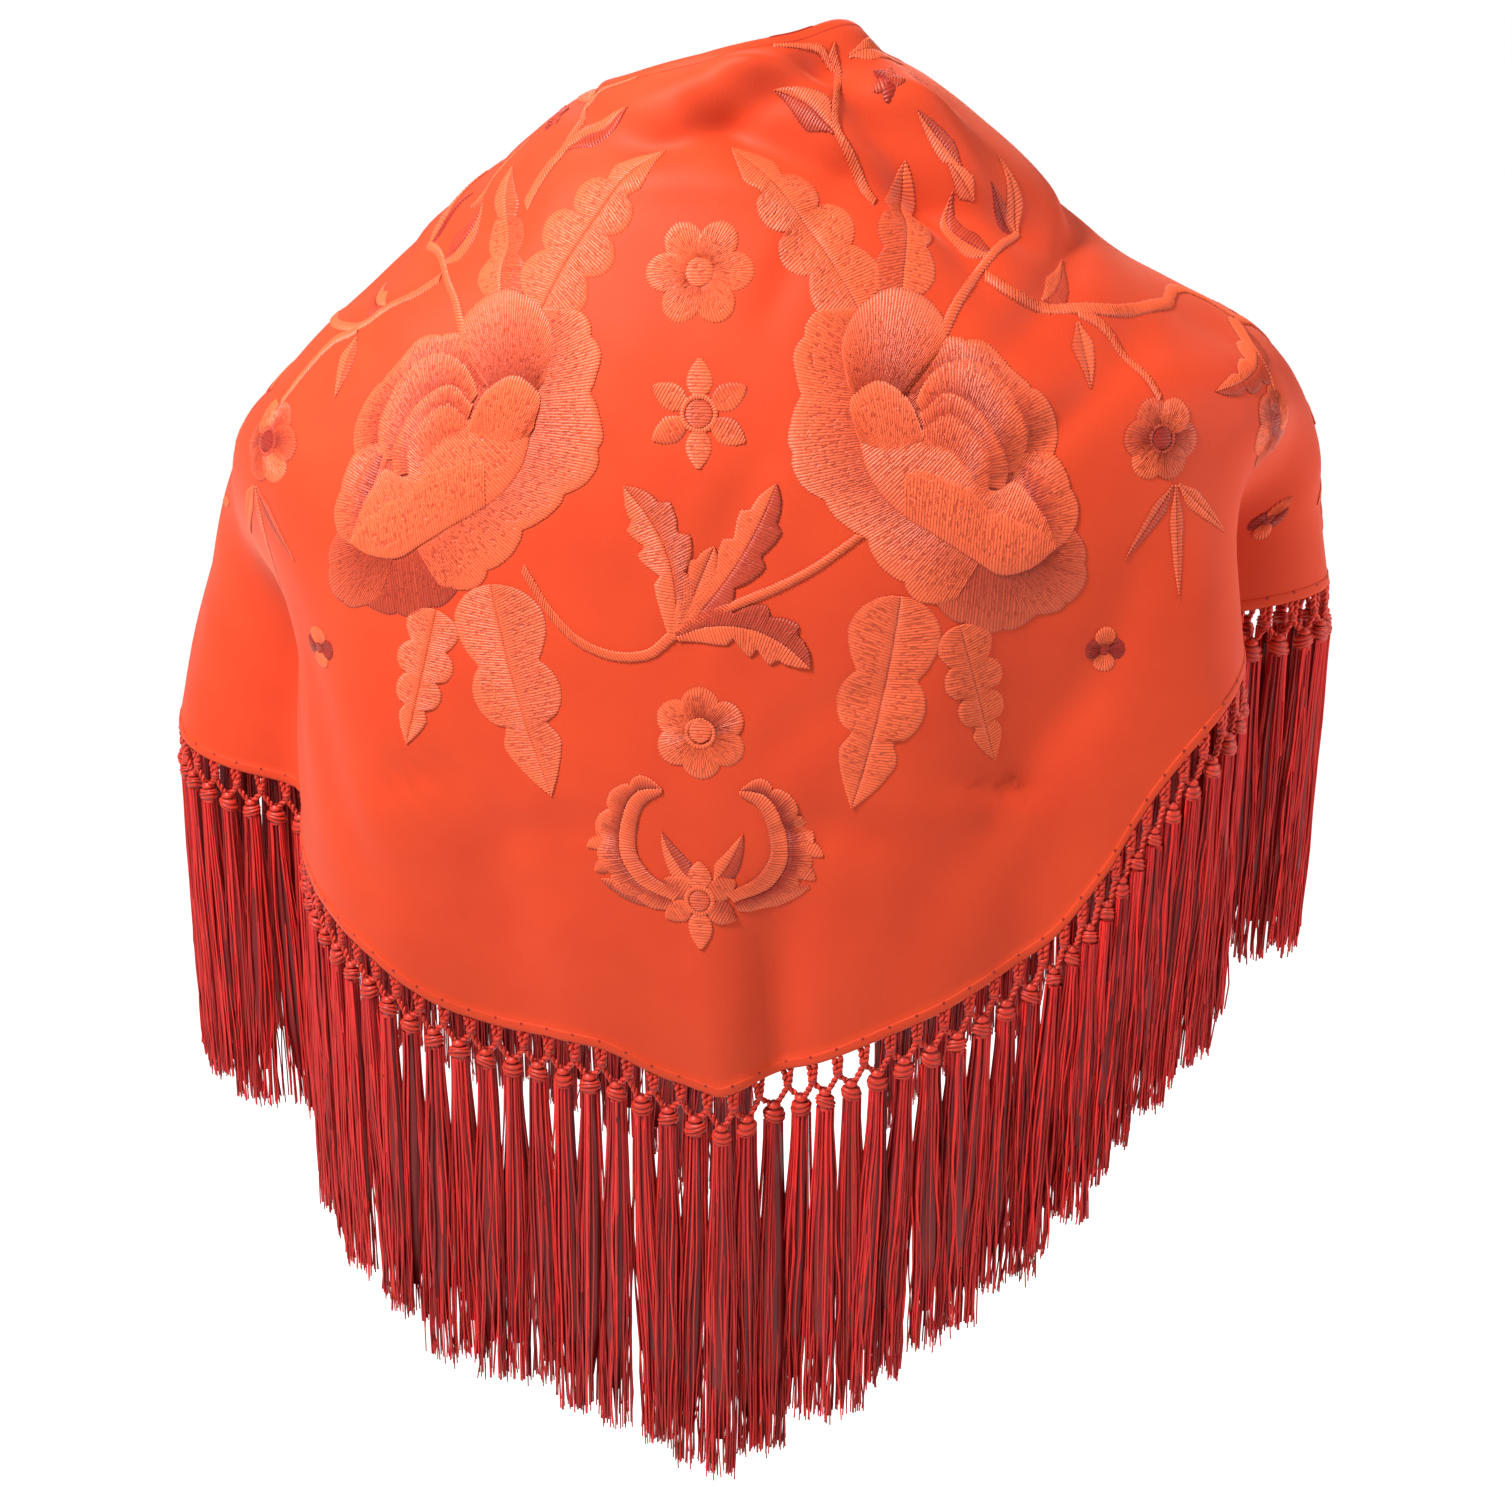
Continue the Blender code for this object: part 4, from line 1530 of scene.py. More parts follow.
@dataclass
class AxisMotifs:
    """The flowers, the leaf trio and the wreath that stand down the middle of the back."""

    drape: Drape
    seed: int = 5

    def six_petals(self, work: StitchWork) -> None:
        """The round-petalled flower below the nape."""
        for number in range(6):
            work.round_petal((0, 85), 60 * number, 4.5, 20.5, 7.4, Side.AXIS, Tone.CORAL, 0.6 * (number % 2), Tone.PALE)
        work.disc((0, 85), 5.4, Side.AXIS, Tone.CORAL, 1.6)

    def star(self, work: StitchWork) -> None:
        """The pointed flower between the roses."""
        for number in range(6):
            angle = math.radians(90 + 60 * number)
            way = np.array([math.cos(angle), math.sin(angle)])
            base = tuple(np.array([1.5, 136.8]) + way * 5.5)
            tip = tuple(np.array([1.5, 136.8]) + way * 20.5)
            tone = Tone.DUSKY if number in (1, 4, 5) else Tone.CORAL
            work.oval(base, tip, 5.0, Side.AXIS, tone, 0.0, Tone.PALE)
        work.disc((1.5, 136.8), 5.2, Side.AXIS, Tone.DUSKY, 0.8)
        work.ring((1.5, 136.8), 6.3, 1.9, Side.AXIS, Tone.PALE, 0.8)

    def open_flower(self, work: StitchWork) -> None:
        """The full flower below the leaf trio, two of its petals dark."""
        tones = (Tone.DUSKY, Tone.PALE, Tone.PALE, Tone.CORAL, Tone.DEEP, Tone.DEEP)
        for number, tone in enumerate(tones):
            turn = 30 + 60 * number
            rim = Tone.PALE if tone is not Tone.DEEP else Tone.CORAL
            work.round_petal((0.5, 258.5), turn, 3.5, 18.3, 7.6, Side.AXIS, tone, 0.35 * (number % 3), rim)
        work.disc((0.5, 257.5), 4.6, Side.AXIS, Tone.CORAL, 1.7)
        work.ring((0.5, 258.5), 5.4, 1.5, Side.AXIS, Tone.PALE, 1.7)

    def trio(self, work: StitchWork) -> None:
        """Three curling leaves and the stems to both roses."""
        side = Side.AXIS
        work.stem(((-9, 220), (-19, 228), (-31, 229.5), (-47, 224), (-58, 213), (-68, 197)), side, 4.2, layer=0.2)
        work.stem(((-7, 219), (5, 212), (17, 207), (31, 201), (44, 194), (54, 187), (62, 181)), side, 4.2, layer=0.2)
        work.leaf((-9, 222), (-27, 164), 11.0, side, ACANTHUS, 8.0, (Tone.DUSKY, Tone.PALE), 0.7, 0.20)
        work.leaf((-8, 221), (7, 186), 7.0, side, ACANTHUS, 0.0, (Tone.CORAL, Tone.PALE), 0.9, 0.20)
        work.leaf((-7, 220), (31, 162), 9.5, side, ACANTHUS, 4.0, (Tone.DEEP, Tone.CORAL), 1.2, 0.20)
        work.leaf((-8, 221), (43, 232), 10.5, side, ACANTHUS, -10.0, (Tone.CORAL, Tone.DEEP), 1.7, 0.20)

    def wreath(self, work: StitchWork) -> None:
        """Two crescents round a small flower near the point."""
        for sign in (-1, 1):
            top = Tone.DEEP if sign < 0 else Tone.MAROON
            outer = ((15, 280), (24, 277), (34, 283), (41, 296), (42, 311), (35, 325), (14, 333))
            middle = ((15, 281), (25, 283), (32, 296), (33, 310), (27, 321), (12, 328))
            inner = ((15, 283), (22, 288), (26, 299), (26, 309), (21, 317), (9, 324))
            rails = [tuple((sign * d, y) for d, y in rail) for rail in (outer, middle, inner)]
            work.shell_petal(rails[1], rails[0], Side.AXIS, Rim(6, 3.0), top, 0.3, Tone.CORAL)
            work.shell_petal(rails[1], rails[2], Side.AXIS, Rim(0, 0.0), Tone.PALE, 0.9, Tone.DUSKY)
            for base, tip, half, tone in (
                ((36, 292), (43, 303), 3.4, Tone.CORAL),
                ((38, 303), (47, 308), 3.2, Tone.PALE),
                ((37, 313), (44, 318), 3.4, Tone.DUSKY),
                ((20, 330), (42, 321), 3.6, Tone.DEEP),
            ):
                ends = [(sign * base[0], base[1]), (sign * tip[0], tip[1])]
                work.oval(ends[0], ends[1], half, Side.AXIS, tone, 0.1, Tone.CORAL)
            work.leaf(
                (sign * 4, 320), (sign * 16, 299), 5.6, Side.AXIS, tones=(Tone.DEEP, Tone.PALE), layer=0.2, bend=sign * 1.5
            )

    def wreath_flower(self, work: StitchWork) -> None:
        """The pointed flower inside the wreath."""
        tones = (Tone.DEEP, Tone.PALE, Tone.CORAL, Tone.DEEP, Tone.CORAL, Tone.DUSKY)
        for number, tone in enumerate(tones):
            angle = math.radians(30 + 60 * number)
            way = np.array([math.cos(angle), math.sin(angle)])
            reach = 20.5 if number == 1 else 16.5
            base = tuple(np.array([-1.5, 327.0]) + way * 4.0)
            tip = tuple(np.array([-1.5, 327.0]) + way * reach)
            work.oval(base, tip, 4.9, Side.AXIS, tone, 0.7, Tone.CORAL)
        work.disc((-1.5, 327.0), 4.2, Side.AXIS, Tone.DUSKY, 1.6)
        work.ring((-1.5, 327.0), 5.3, 2.0, Side.AXIS, Tone.CORAL, 1.6)

    def build(self, material: bpy.types.Material) -> bpy.types.Object:
        """Stitches everything on the axis."""
        work = StitchWork(self.drape, self.seed)
        self.six_petals(work)
        self.star(work)
        self.trio(work)
        self.open_flower(work)
        self.wreath(work)
        self.wreath_flower(work)
        return work.finish("axis_flowers", material)


@dataclass
class SideSpray:
    """Stems, buds and small flowers that run from a rose over the shoulder and the arm to the front."""

    drape: Drape
    side: Side
    seed: int

    def small_flower(self, work: StitchWork, centre: tuple[float, float], size: float, turn: float = 0.0) -> None:
        """A flower with dark side petals and a dark oval middle."""
        tones = (Tone.MAROON, Tone.DEEP, Tone.PALE, Tone.MAROON, Tone.DEEP, Tone.PALE)
        for number, tone in enumerate(tones):
            angle = turn + 60 * number
            rim = Tone.PALE if tone is Tone.PALE else Tone.DUSKY
            layer = 0.4 * (number % 2)
            work.round_petal(centre, angle, 0.22 * size, size, 0.43 * size, self.side, tone, layer, rim)
        work.disc(centre, 0.25 * size, self.side, Tone.MAROON, 1.4)
        work.ring(centre, 0.31 * size, 1.2, self.side, Tone.DEEP, 1.4)

    def tiny_flower(self, work: StitchWork, centre: tuple[float, float], size: float) -> None:
        """Four petals, dark at the sides."""
        for number in range(4):
            tone = Tone.MAROON if number % 2 == 0 else Tone.PALE
            reach = size if number % 2 else 0.85 * size
            work.round_petal(centre, 90 * number, 0.15 * size, reach, 0.45 * size, self.side, tone, 0.2 * number)
        work.disc(centre, 0.25 * size, self.side, Tone.MAROON, 1.3)

    def shoulder(self, work: StitchWork) -> None:
        """The stem over the shoulder with its buds, and the sprig by the neck."""
        side = self.side
        work.stem(((87, 117), (98, 98), (106, 90), (115, 83), (131, 77)), side, 4.2)
        work.stem(((109, 91), (119, 98), (131, 102), (147, 105), (163, 108), (186, 110), (208, 112)), side, 3.6)
        work.stem(((148, 106), (160, 113), (168, 124), (175, 138)), side, 3.4)
        work.leaf((134, 101), (155, 89), 6.4, side, bend=2.0, tones=(Tone.DEEP, Tone.PALE))
        work.leaf((147, 109), (148, 131), 5.6, side, tones=(Tone.DUSKY, Tone.PALE))
        work.leaf((113, 85), (98, 59), 6.2, side, bend=-4.0, tones=(Tone.DEEP, Tone.CORAL))
        work.leaf((129, 78), (114, 60), 3.6, side, tones=(Tone.DEEP, Tone.MAROON))
        work.leaf((131, 78), (125, 52), 5.6, side, tones=(Tone.PALE, Tone.CORAL), layer=0.3)
        work.stem(((66, 60), (56, 45), (50, 35), (50, 23), (55, 14), (50, 8)), side, 3.8)
        work.leaf((49, 36), (24, 19), 7.0, side, bend=2.0, tones=(Tone.CORAL, Tone.DEEP))
        work.leaf((99, 54), (81, 35), 3.4, side, tones=(Tone.DEEP, Tone.CORAL))
        work.leaf((107, 64), (93, 50), 3.0, side, tones=(Tone.PALE, Tone.DUSKY))
        work.stem(((54, 13), (44, 7), (33, 5), (23, 4)), side, 2.0)
        work.leaf((59, 11), (93, 14), 4.6, side, bend=-2.0, tones=(Tone.CORAL, Tone.PALE))
        for number in range(5):
            angle = math.radians(72 * number + 20)
            tip = (71 + 6.5 * math.cos(angle), 24 + 6.5 * math.sin(angle))
            work.oval((71, 24), tip, 2.4, side, Tone.MAROON if number % 2 else Tone.DEEP, 0.3)

    def arm(self, work: StitchWork) -> None:
        """Flowers and leaves over the upper arm."""
        side = self.side
        self.small_flower(work, (175, 152), 15.5, 8)
        work.leaf((180, 169), (161, 195), 3.4, side, tones=(Tone.DUSKY, Tone.DEEP))
        work.leaf((181, 169), (182, 211), 3.2, side, tones=(Tone.CORAL, Tone.DUSKY))
        work.leaf((182, 169), (205, 190), 4.2, side, tones=(Tone.PALE, Tone.CORAL))
        self.tiny_flower(work, (155, 229), 8.8)
        work.leaf((259, 128), (201, 139), 7.2, side, FOUR_LOBES, -3.0, (Tone.PALE, Tone.DEEP))
        work.stem(((262, 126), (250, 131), (242, 137), (238, 145)), side, 2.6)
        self.small_flower(work, (235, 156), 14.0, 40)
        work.stem(((208, 112), (228, 112), (246, 116), (262, 126)), side, 2.6)
        work.leaf((246, 190), (262, 196), 2.4, side, tones=(Tone.PALE, Tone.PALE))

    def front(self, work: StitchWork) -> None:
        """The end of the spray, down the front of the shawl."""
        side = self.side
        work.stem(((262, 126), (282, 131), (302, 141), (320, 154), (334, 170), (344, 190)), side, 3.0)
        work.leaf((288, 133), (310, 113), 6.5, side, THREE_LOBES, 2.0, (Tone.CORAL, Tone.DUSKY))
        work.leaf((318, 152), (294, 170), 7.5, side, THREE_LOBES, -2.0, (Tone.PALE, Tone.DUSKY))
        work.stem(((324, 157), (334, 152), (342, 149)), side, 2.4)
        self.small_flower(work, (354, 145), 14.5, 20)
        work.leaf((337, 175), (366, 176), 6.5, side, THREE_LOBES, 3.0, (Tone.DEEP, Tone.CORAL))
        work.leaf((340, 184), (314, 200), 7.0, side, FOUR_LOBES, 0.0, (Tone.PALE, Tone.CORAL))
        self.small_flower(work, (350, 205), 15.0, 0)
        self.tiny_flower(work, (286, 199), 8.0)

    def build(self, material: bpy.types.Material) -> bpy.types.Object:
        """Stitches the spray."""
        work = StitchWork(self.drape, self.seed)
        self.shoulder(work)
        self.arm(work)
        self.front(work)
        return work.finish(f"side_spray_{self.side.value}", material)


class Drop(NamedTuple):
    """How far the tassels hang below the hem at a hem length from the point, in metres."""

    along: float
    drop: float


DROPS = (
    Drop(-0.75, 0.166),
    Drop(-0.42, 0.162),
    Drop(-0.29, 0.150),
    Drop(-0.17, 0.143),
    Drop(-0.08, 0.163),
    Drop(0.00, 0.183),
    Drop(0.12, 0.171),
    Drop(0.28, 0.167),
    Drop(0.42, 0.175),
    Drop(0.75, 0.168),
)


@dataclass
class KnottedFringe:
    """The macrame heading and the tassels along the two short edges."""

    panel: Panel
    pitch: float = 11.8 * MM
    wall: float = 1.6 * MM
    arm_share: float = 0.54
    end_margin: float = 12 * MM
    knot_drop: float = 7.2
    head_top: float = 13.4
    head_foot: float = 22.0
    head_half: float = 4.5
    head_flat: float = 0.78
    wraps: float = 3.6
    cord_radius: float = 0.86
    cord_twist: float = 0.55
    threads: int = 45
    thread_radius: float = 0.52
    skirt_top: tuple[float, float] = (4.1, 2.6)
    skirt_foot: tuple[float, float] = (7.2, 3.2)
    hang: float = 0.045
    thread_points: int = 13
    ragged: float = 4.0
    seed: int = 11

    def __post_init__(self) -> None:
        """Reads the hem finely once, and seeds the unevenness of the threads."""
        self.random = np.random.default_rng(self.seed)
        drape = self.panel.drape
        self.along = np.linspace(-self.panel.lengths[-1], self.panel.lengths[1], 1201)
        turn, level = self.panel.at(self.panel.share_of(self.along), np.ones(len(self.along)))
        outer = drape.face(turn, level)
        self.rim = outer - drape.outward(drape.face, turn, level) * self.wall / 2
        self.right_count = int((self.panel.lengths[-1] - self.end_margin) / self.pitch)
        self.left_count = int((self.panel.lengths[1] - self.end_margin) / self.pitch)

    def rim_at(self, at: Array) -> Array:
        """Point on the middle of the rim at a hem length from the point."""
        return np.stack([np.interp(at, self.along, self.rim[:, axis]) for axis in range(3)], axis=-1)

    def frame_at(self, at: float) -> tuple[Array, Array, Array, float]:
        """Rim point, level way along, level way out and level share of a step at a hem length."""
        middle = self.rim_at(np.array(at))
        reach = self.pitch / 2
        along = self.rim_at(np.array(at + reach)) - self.rim_at(np.array(at - reach))
        along[2] = 0.0
        step = float(np.linalg.norm(along))
        along = along / step
        return middle, along, np.cross(UP, along), min(1.0, step / self.pitch)

    def tubes(self, bag: MeshBag, paths: Array, radius: Array, sides: int, tone: Array) -> None:
        """Adds many tubes of equal length at once.

        Args:
            bag: what they are added to.
            paths: points of each tube, shaped tubes by points by 3.
            radius: radius at each point, in metres.
            sides: sides of a tube.
            tone: how dark each tube is.
        """
        count, points = paths.shape[:2]
        along = unit(np.gradient(paths, axis=1))
        hint = np.where(np.abs(along[..., 2:]) > 0.8, (1.0, 0.0, 0.0), (0.0, 0.0, 1.0))
        across = unit(np.cross(along, hint))
        other = np.cross(along, across)
        turn = np.linspace(0, 2 * math.pi, sides, endpoint=False)
        ring = across[:, :, None] * np.cos(turn)[None, None, :, None]
        ring = ring + other[:, :, None] * np.sin(turn)[None, None, :, None]
        radius = np.broadcast_to(radius, (count, points))
        solid = paths[:, :, None] + ring * radius[:, :, None, None]
        faces = ring_quads(points, sides)
        first = np.arange(count)[:, None, None] * points * sides
        faces = (faces[None] + first).reshape(-1, 4)
        length = np.cumsum(np.linalg.norm(np.diff(paths, axis=1, prepend=paths[:, :1]), axis=-1), axis=1)
        flat_u = np.broadcast_to(length[:, :, None] * 10, (count, points, sides))
        offset = self.random.uniform(0, 5, (count, 1, 1))
        flat_v = np.broadcast_to(offset + turn[None, None] / 60, (count, points, sides))
        flat = np.stack([flat_u, flat_v], axis=-1).reshape(-1, 2)
        shade = np.broadcast_to(np.asarray(tone)[:, None, None], (count, points, sides)).ravel()
        bag.add(solid.reshape(-1, 3), faces, shade, np.zeros(len(shade)), flat)

    def cord(self, bag: MeshBag, start: Array, end: Array, tone: float, sag: float = 0.0, points: int = 11) -> None:
        """A two-ply twisted cord from one point to another."""
        t = np.linspace(0, 1, points)
        path = start + (end - start) * t[:, None] - UP * (sag * 4 * t * (1 - t))[:, None]
        length = float(np.linalg.norm(end - start))
        way = unit(end - start)
        across = unit(np.cross(way, np.array((0.3, 0.2, 1.0))))
        other = np.cross(way, across)
        turn = 2 * math.pi * (self.cord_twist * length / MM / 3 * t + self.random.uniform())
        plies = []
        for phase in (0.0, math.pi):
            swing = across * np.cos(turn + phase)[:, None] + other * np.sin(turn + phase)[:, None]
            plies.append(path + swing * self.cord_radius * 0.72 * MM)
        shades = tone + self.random.normal(0, 0.06, 2)
        self.tubes(bag, np.stack(plies), np.full((2, points), self.cord_radius * MM), 4, shades)

    def lump(self, bag: MeshBag, centre: Array, axes: Array, profile: Array, wraps: float, tone: float) -> None:
        """A wound knot: a stack of oval rings with the ridges of its wraps, darkened between them as painted shade.

        Args:
            bag: what it is added to.
            centre: its middle.
            axes: its level ways along and out, and its way down, as rows.
            profile: drop, half width and half depth of each ring, in mm.
            wraps: how many turns of thread show.
            tone: how dark it is.
        """
        sides = 14
        turn = np.linspace(0, 2 * math.pi, sides, endpoint=False)
        tilt = self.random.uniform(0.9, 1.9) * self.random.choice((-1, 1)) * (wraps > 3)
        start = self.random.uniform(0, 2 * math.pi)
        span = profile[-1, 0] - profile[0, 0]
        drop = profile[:, :1] + tilt * np.sin(turn + start)[None, :] * np.sin(math.pi * np.linspace(0, 1, len(profile)))[:, None]
        ridge = np.abs(np.sin(math.pi * wraps * (profile[:, :1] - profile[0, 0]) / span + 0 * turn))
        swell = 0.84 + 0.24 * ridge
        wide = profile[:, 1:2] * swell * np.cos(turn)
        deep = profile[:, 2:3] * swell * np.sin(turn)
        solid = centre + (wide[..., None] * axes[0] + deep[..., None] * axes[1] + drop[..., None] * axes[2]) * MM
        # painted shade: the thread is darkened in the grooves between the wraps
        shade = np.clip(tone + 0.60 * (1 - ridge) + 0 * turn[None], 0, 1)
        flat = np.stack(np.broadcast_arrays(turn[None] / 60 + start, profile[:, :1] / 100), axis=-1)
        bag.fans.append([bag.count + i for i in range(sides)][::-1])
        last = bag.count + (len(profile) - 1) * sides
        bag.fans.append([last + i for i in range(sides)])
        bag.add(solid.reshape(-1, 3), ring_quads(len(profile), sides)[:, ::-1], shade.ravel(), 0.0, flat.reshape(-1, 2))

    def knot(self, bag: MeshBag, at: float) -> Array:
        """Two legs from the hem to a small knot; returns the knot's foot."""
        middle, along, out, _ = self.frame_at(at)
        foot = middle - UP * self.knot_drop * MM
        for side in (-1, 1):
            top = self.rim_at(np.array(at + side * 1.5 * MM)) - UP * 0.1 * MM
            self.cord(bag, top, foot + along * side * 0.7 * MM + UP * 0.6 * MM, 0.15, points=9)
        size = self.random.uniform(0.9, 1.1)
        rings = np.linspace(-1, 1, 7)
        wide = 2.0 * size * np.sqrt(np.maximum(1 - rings**2, 0.06))
        profile = np.stack([rings * 1.9, wide, wide * 0.85], axis=-1)
        self.lump(bag, foot, np.stack([along, out, -UP]), profile, 2.0, 0.15)
        return foot - UP * 1.0 * MM

    def head(self, bag: MeshBag, at: float) -> tuple[Array, Array]:
        """A wound tassel head under its loop; returns where the two slanting cords reach it."""
        middle, along, out, share = self.frame_at(at)
        axes = np.stack([along, out, -UP])
        half = self.head_half * (0.35 + 0.65 * share) * self.random.uniform(0.92, 1.08)
        rings = np.linspace(0, 1, 9)
        loop = np.sin(math.pi * np.clip(rings, 0.10, 0.92)) ** 0.6
        wide = half * 0.60 * loop
        top = self.head_top - 0.8 + self.random.uniform(-0.5, 0.5)
        profile = np.stack([top + rings * 4.2, wide, wide * 0.9], axis=-1)
        self.lump(bag, middle, axes, profile, 1.0, 0.10)
        rings = np.linspace(0, 1, 16)
        bulge = 0.70 + 0.30 * np.sin(math.pi * np.clip(rings * 1.06, 0, 1)) ** 0.7
        body_top = top + 3.3
        profile = np.stack([body_top + rings * (self.head_foot - body_top), half * bulge, half * bulge * self.head_flat], axis=-1)
        self.lump(bag, middle, axes, profile, self.wraps, 0.12)
        crown = middle - UP * (top + 0.9) * MM
        return crown - along * half * 0.38 * MM, crown + along * half * 0.38 * MM

    def skirt(self, bag: MeshBag, at: float, index: int, lean: float, swing: float) -> None:
        """The loose threads of one tassel.

        Args:
            bag: what they are added to.
            at: hem length of the tassel.
            index: its number along the hem.
            lean: how far its end drifts along the hem, in mm.
            swing: how far its end drifts out, in mm.
        """
        middle, along, out, share = self.frame_at(at)
        wave = math.sin(index * 2.4) + 0.6 * math.sin(index * 5.1 + 1.0)
        even = hermite([s.along for s in DROPS], [s.drop for s in DROPS], np.array(at))
        drop = float(even) / MM + self.ragged * wave
        random = self.random
        count = self.threads
        turn = random.uniform(0, 2 * math.pi, count)
        reach = np.sqrt(random.uniform(0.30, 1.0, count))
        narrow = 0.40 + 0.60 * share
        t = np.linspace(0, 1, self.thread_points) ** 1.15
        top = self.head_foot - 1.2
        end = drop + random.normal(0, 1.9, count) - 5.0 * (random.uniform(0, 1, count) < 0.12)
        down = top + (end[:, None] - top) * t[None, :]
        open_share = smooth(t * 2.2)[None, :]
        wide = self.skirt_top[0] + (self.skirt_foot[0] - self.skirt_top[0]) * open_share
        deep = self.skirt_top[1] + (self.skirt_foot[1] - self.skirt_top[1]) * open_share
        sway = random.normal(0, 1, (count, 1)) * np.sin(t * random.uniform(6, 16, (count, 1)) + random.uniform(0, 6, (count, 1)))
        stray = (random.uniform(0, 1, (count, 1)) < 0.05) * random.normal(0, 3.2, (count, 1)) * t**2
        x = wide * narrow * (reach * np.cos(turn))[:, None] + 0.85 * sway * np.sqrt(t) + stray
        y = deep * (reach * np.sin(turn))[:, None] + 0.60 * np.roll(sway, 1, axis=0) * np.sqrt(t)
        x = x + lean * smooth(t)[None, :]
        y = y + swing * smooth(t)[None, :]
        paths = middle + (x[..., None] * along + y[..., None] * out - down[..., None] * UP) * MM
        paths = paths + LEFTWARD * ((down - top) * self.hang * MM)[..., None]
        # painted light and shade: threads on the outer side of the skirt are lighter and those on its inner side darker
        painted_light_side = np.sin(turn) * reach
        tone = np.clip(0.52 - 0.16 * painted_light_side + random.normal(0, 0.26, count), 0, 1)
        tone = np.where(random.uniform(0, 1, count) < 0.14, 0.0, tone)
        radius = self.thread_radius * MM * np.linspace(1.0, 0.72, self.thread_points)
        self.tubes(bag, paths, radius[None, :], 3, tone)
        # painted shade: a dark tube inside the skirt stands for the shade between its threads
        self.core(bag, middle, along, out, narrow, drop, lean, swing)

    def core(
        self,
        bag: MeshBag,
        middle: Array,
        along: Array,
        out: Array,
        narrow: float,
        drop: float,
        lean: float,
        swing: float,
    ) -> None:
        """A dark tube of painted shade inside a skirt, behind its outer threads, standing for the shade between them.
        """
        t = np.linspace(0, 1, 6)
        turn = np.linspace(0, 2 * math.pi, 6, endpoint=False)
        down = self.head_foot - 1.0 + (drop - 16 - self.head_foot) * t
        wide = (self.skirt_top[0] + (self.skirt_foot[0] - self.skirt_top[0]) * smooth(t * 2.2)) * 0.80 * narrow
        deep = (self.skirt_top[1] + (self.skirt_foot[1] - self.skirt_top[1]) * smooth(t * 2.2)) * 0.74
        taper = np.where(t > 0.9, 0.35, 1.0)
        x = (wide * taper)[:, None] * np.cos(turn) + (lean * smooth(t))[:, None]
        y = (deep * taper)[:, None] * np.sin(turn) + (swing * smooth(t))[:, None]
        solid = middle + (x[..., None] * along + y[..., None] * out - down[:, None, None] * UP) * MM
        solid = solid + LEFTWARD * ((down - down[0]) * self.hang * MM)[:, None, None]
        flat = np.zeros((36, 2))
        bag.fans.append([bag.count + i for i in range(6)])
        bag.fans.append([bag.count + 30 + i for i in range(6)][::-1])
        # 0.95 is nearly the darkest thread, as painted shade
        bag.add(solid.reshape(-1, 3), ring_quads(6, 6), np.full(36, 0.95), 0.0, flat)

    def stretch(
        self, name: str, first: int, last: int, close: bool, heading: bpy.types.Material, silk: bpy.types.Material
    ) -> list[bpy.types.Object]:
        """One stretch of fringe.

        Args:
            name: the solid that it stands for.
            first: number of its first tassel, counted from the point.
            last: number of its last tassel.
            close: whether the knot after its last tassel is its own.
            heading: finish of the knots.
            silk: finish of the loose threads.

        Returns:
            The heading and the skirts.
        """
        knots = MeshBag()
        skirts = MeshBag()
        feet = {}
        for index in range(first, last + 2):
            if index <= last or close:
                feet[index] = self.knot(knots, (index - 0.5) * self.pitch)
            else:
                middle, _, _, _ = self.frame_at((index - 0.5) * self.pitch)
                feet[index] = middle - UP * (self.knot_drop + 1.6) * MM
        for index in range(first, last + 1):
            left, right = self.head(knots, index * self.pitch)
            self.cord(knots, feet[index], left, 0.2, 0.2 * MM)
            self.cord(knots, feet[index + 1], right, 0.2, 0.2 * MM)
            lean = 2.6 * math.sin(index * 1.7) + self.random.normal(0, 1.1)
            swing = 1.6 * math.sin(index * 2.9 + 1) + self.random.normal(0, 0.8)
            self.skirt(skirts, index * self.pitch, index, lean, swing)
        pieces = [
            settle(knots.build(name.replace("fringe", "heading"), heading), CORD_SLOT, name),
            settle(skirts.build(name.replace("fringe", "tassels"), silk), CORD_SLOT, name),
        ]
        return pieces

    def needle_holes(self, material: bpy.types.Material) -> bpy.types.Object:
        """The pricks that the legs pass through, a little above the hem's edge: rings of the cord's red, darkened
        towards the middle as painted shade in the hole.
        """
        drape = self.panel.drape
        bag = MeshBag()
        numbers = np.arange(-self.right_count, self.left_count + 2) - 0.5
        share = self.panel.share_of(numbers * self.pitch)
        turn, level = self.panel.inset(share, 3.6, True)
        centre = drape.face(turn, level)
        normal = drape.outward(drape.face, turn, level)
        across = unit(np.cross(normal, UP))
        down = np.cross(across, normal)
        angles = np.linspace(0, 2 * math.pi, 8, endpoint=False)
        rings = ((0.75, 0.36), (0.45, 0.46), (0.16, 0.30))
        for point, way, drop, out in zip(centre, across, down, normal):
            stack = [
                point + (way * radius * np.cos(a) * 0.8 + drop * radius * np.sin(a) + out * lift) * MM
                for radius, lift in rings
                for a in angles
            ]
            # painted shade: darker towards the middle of each hole
            tone = np.repeat((0.6, 0.9, 1.0), 8)
            first = bag.add(np.array(stack), ring_quads(3, 8), tone, 0.0, np.zeros((24, 2)))
            bag.fans.append([first + 16 + i for i in range(8)])
        return settle(bag.build("needle_holes", material), CLOTH_SLOT)

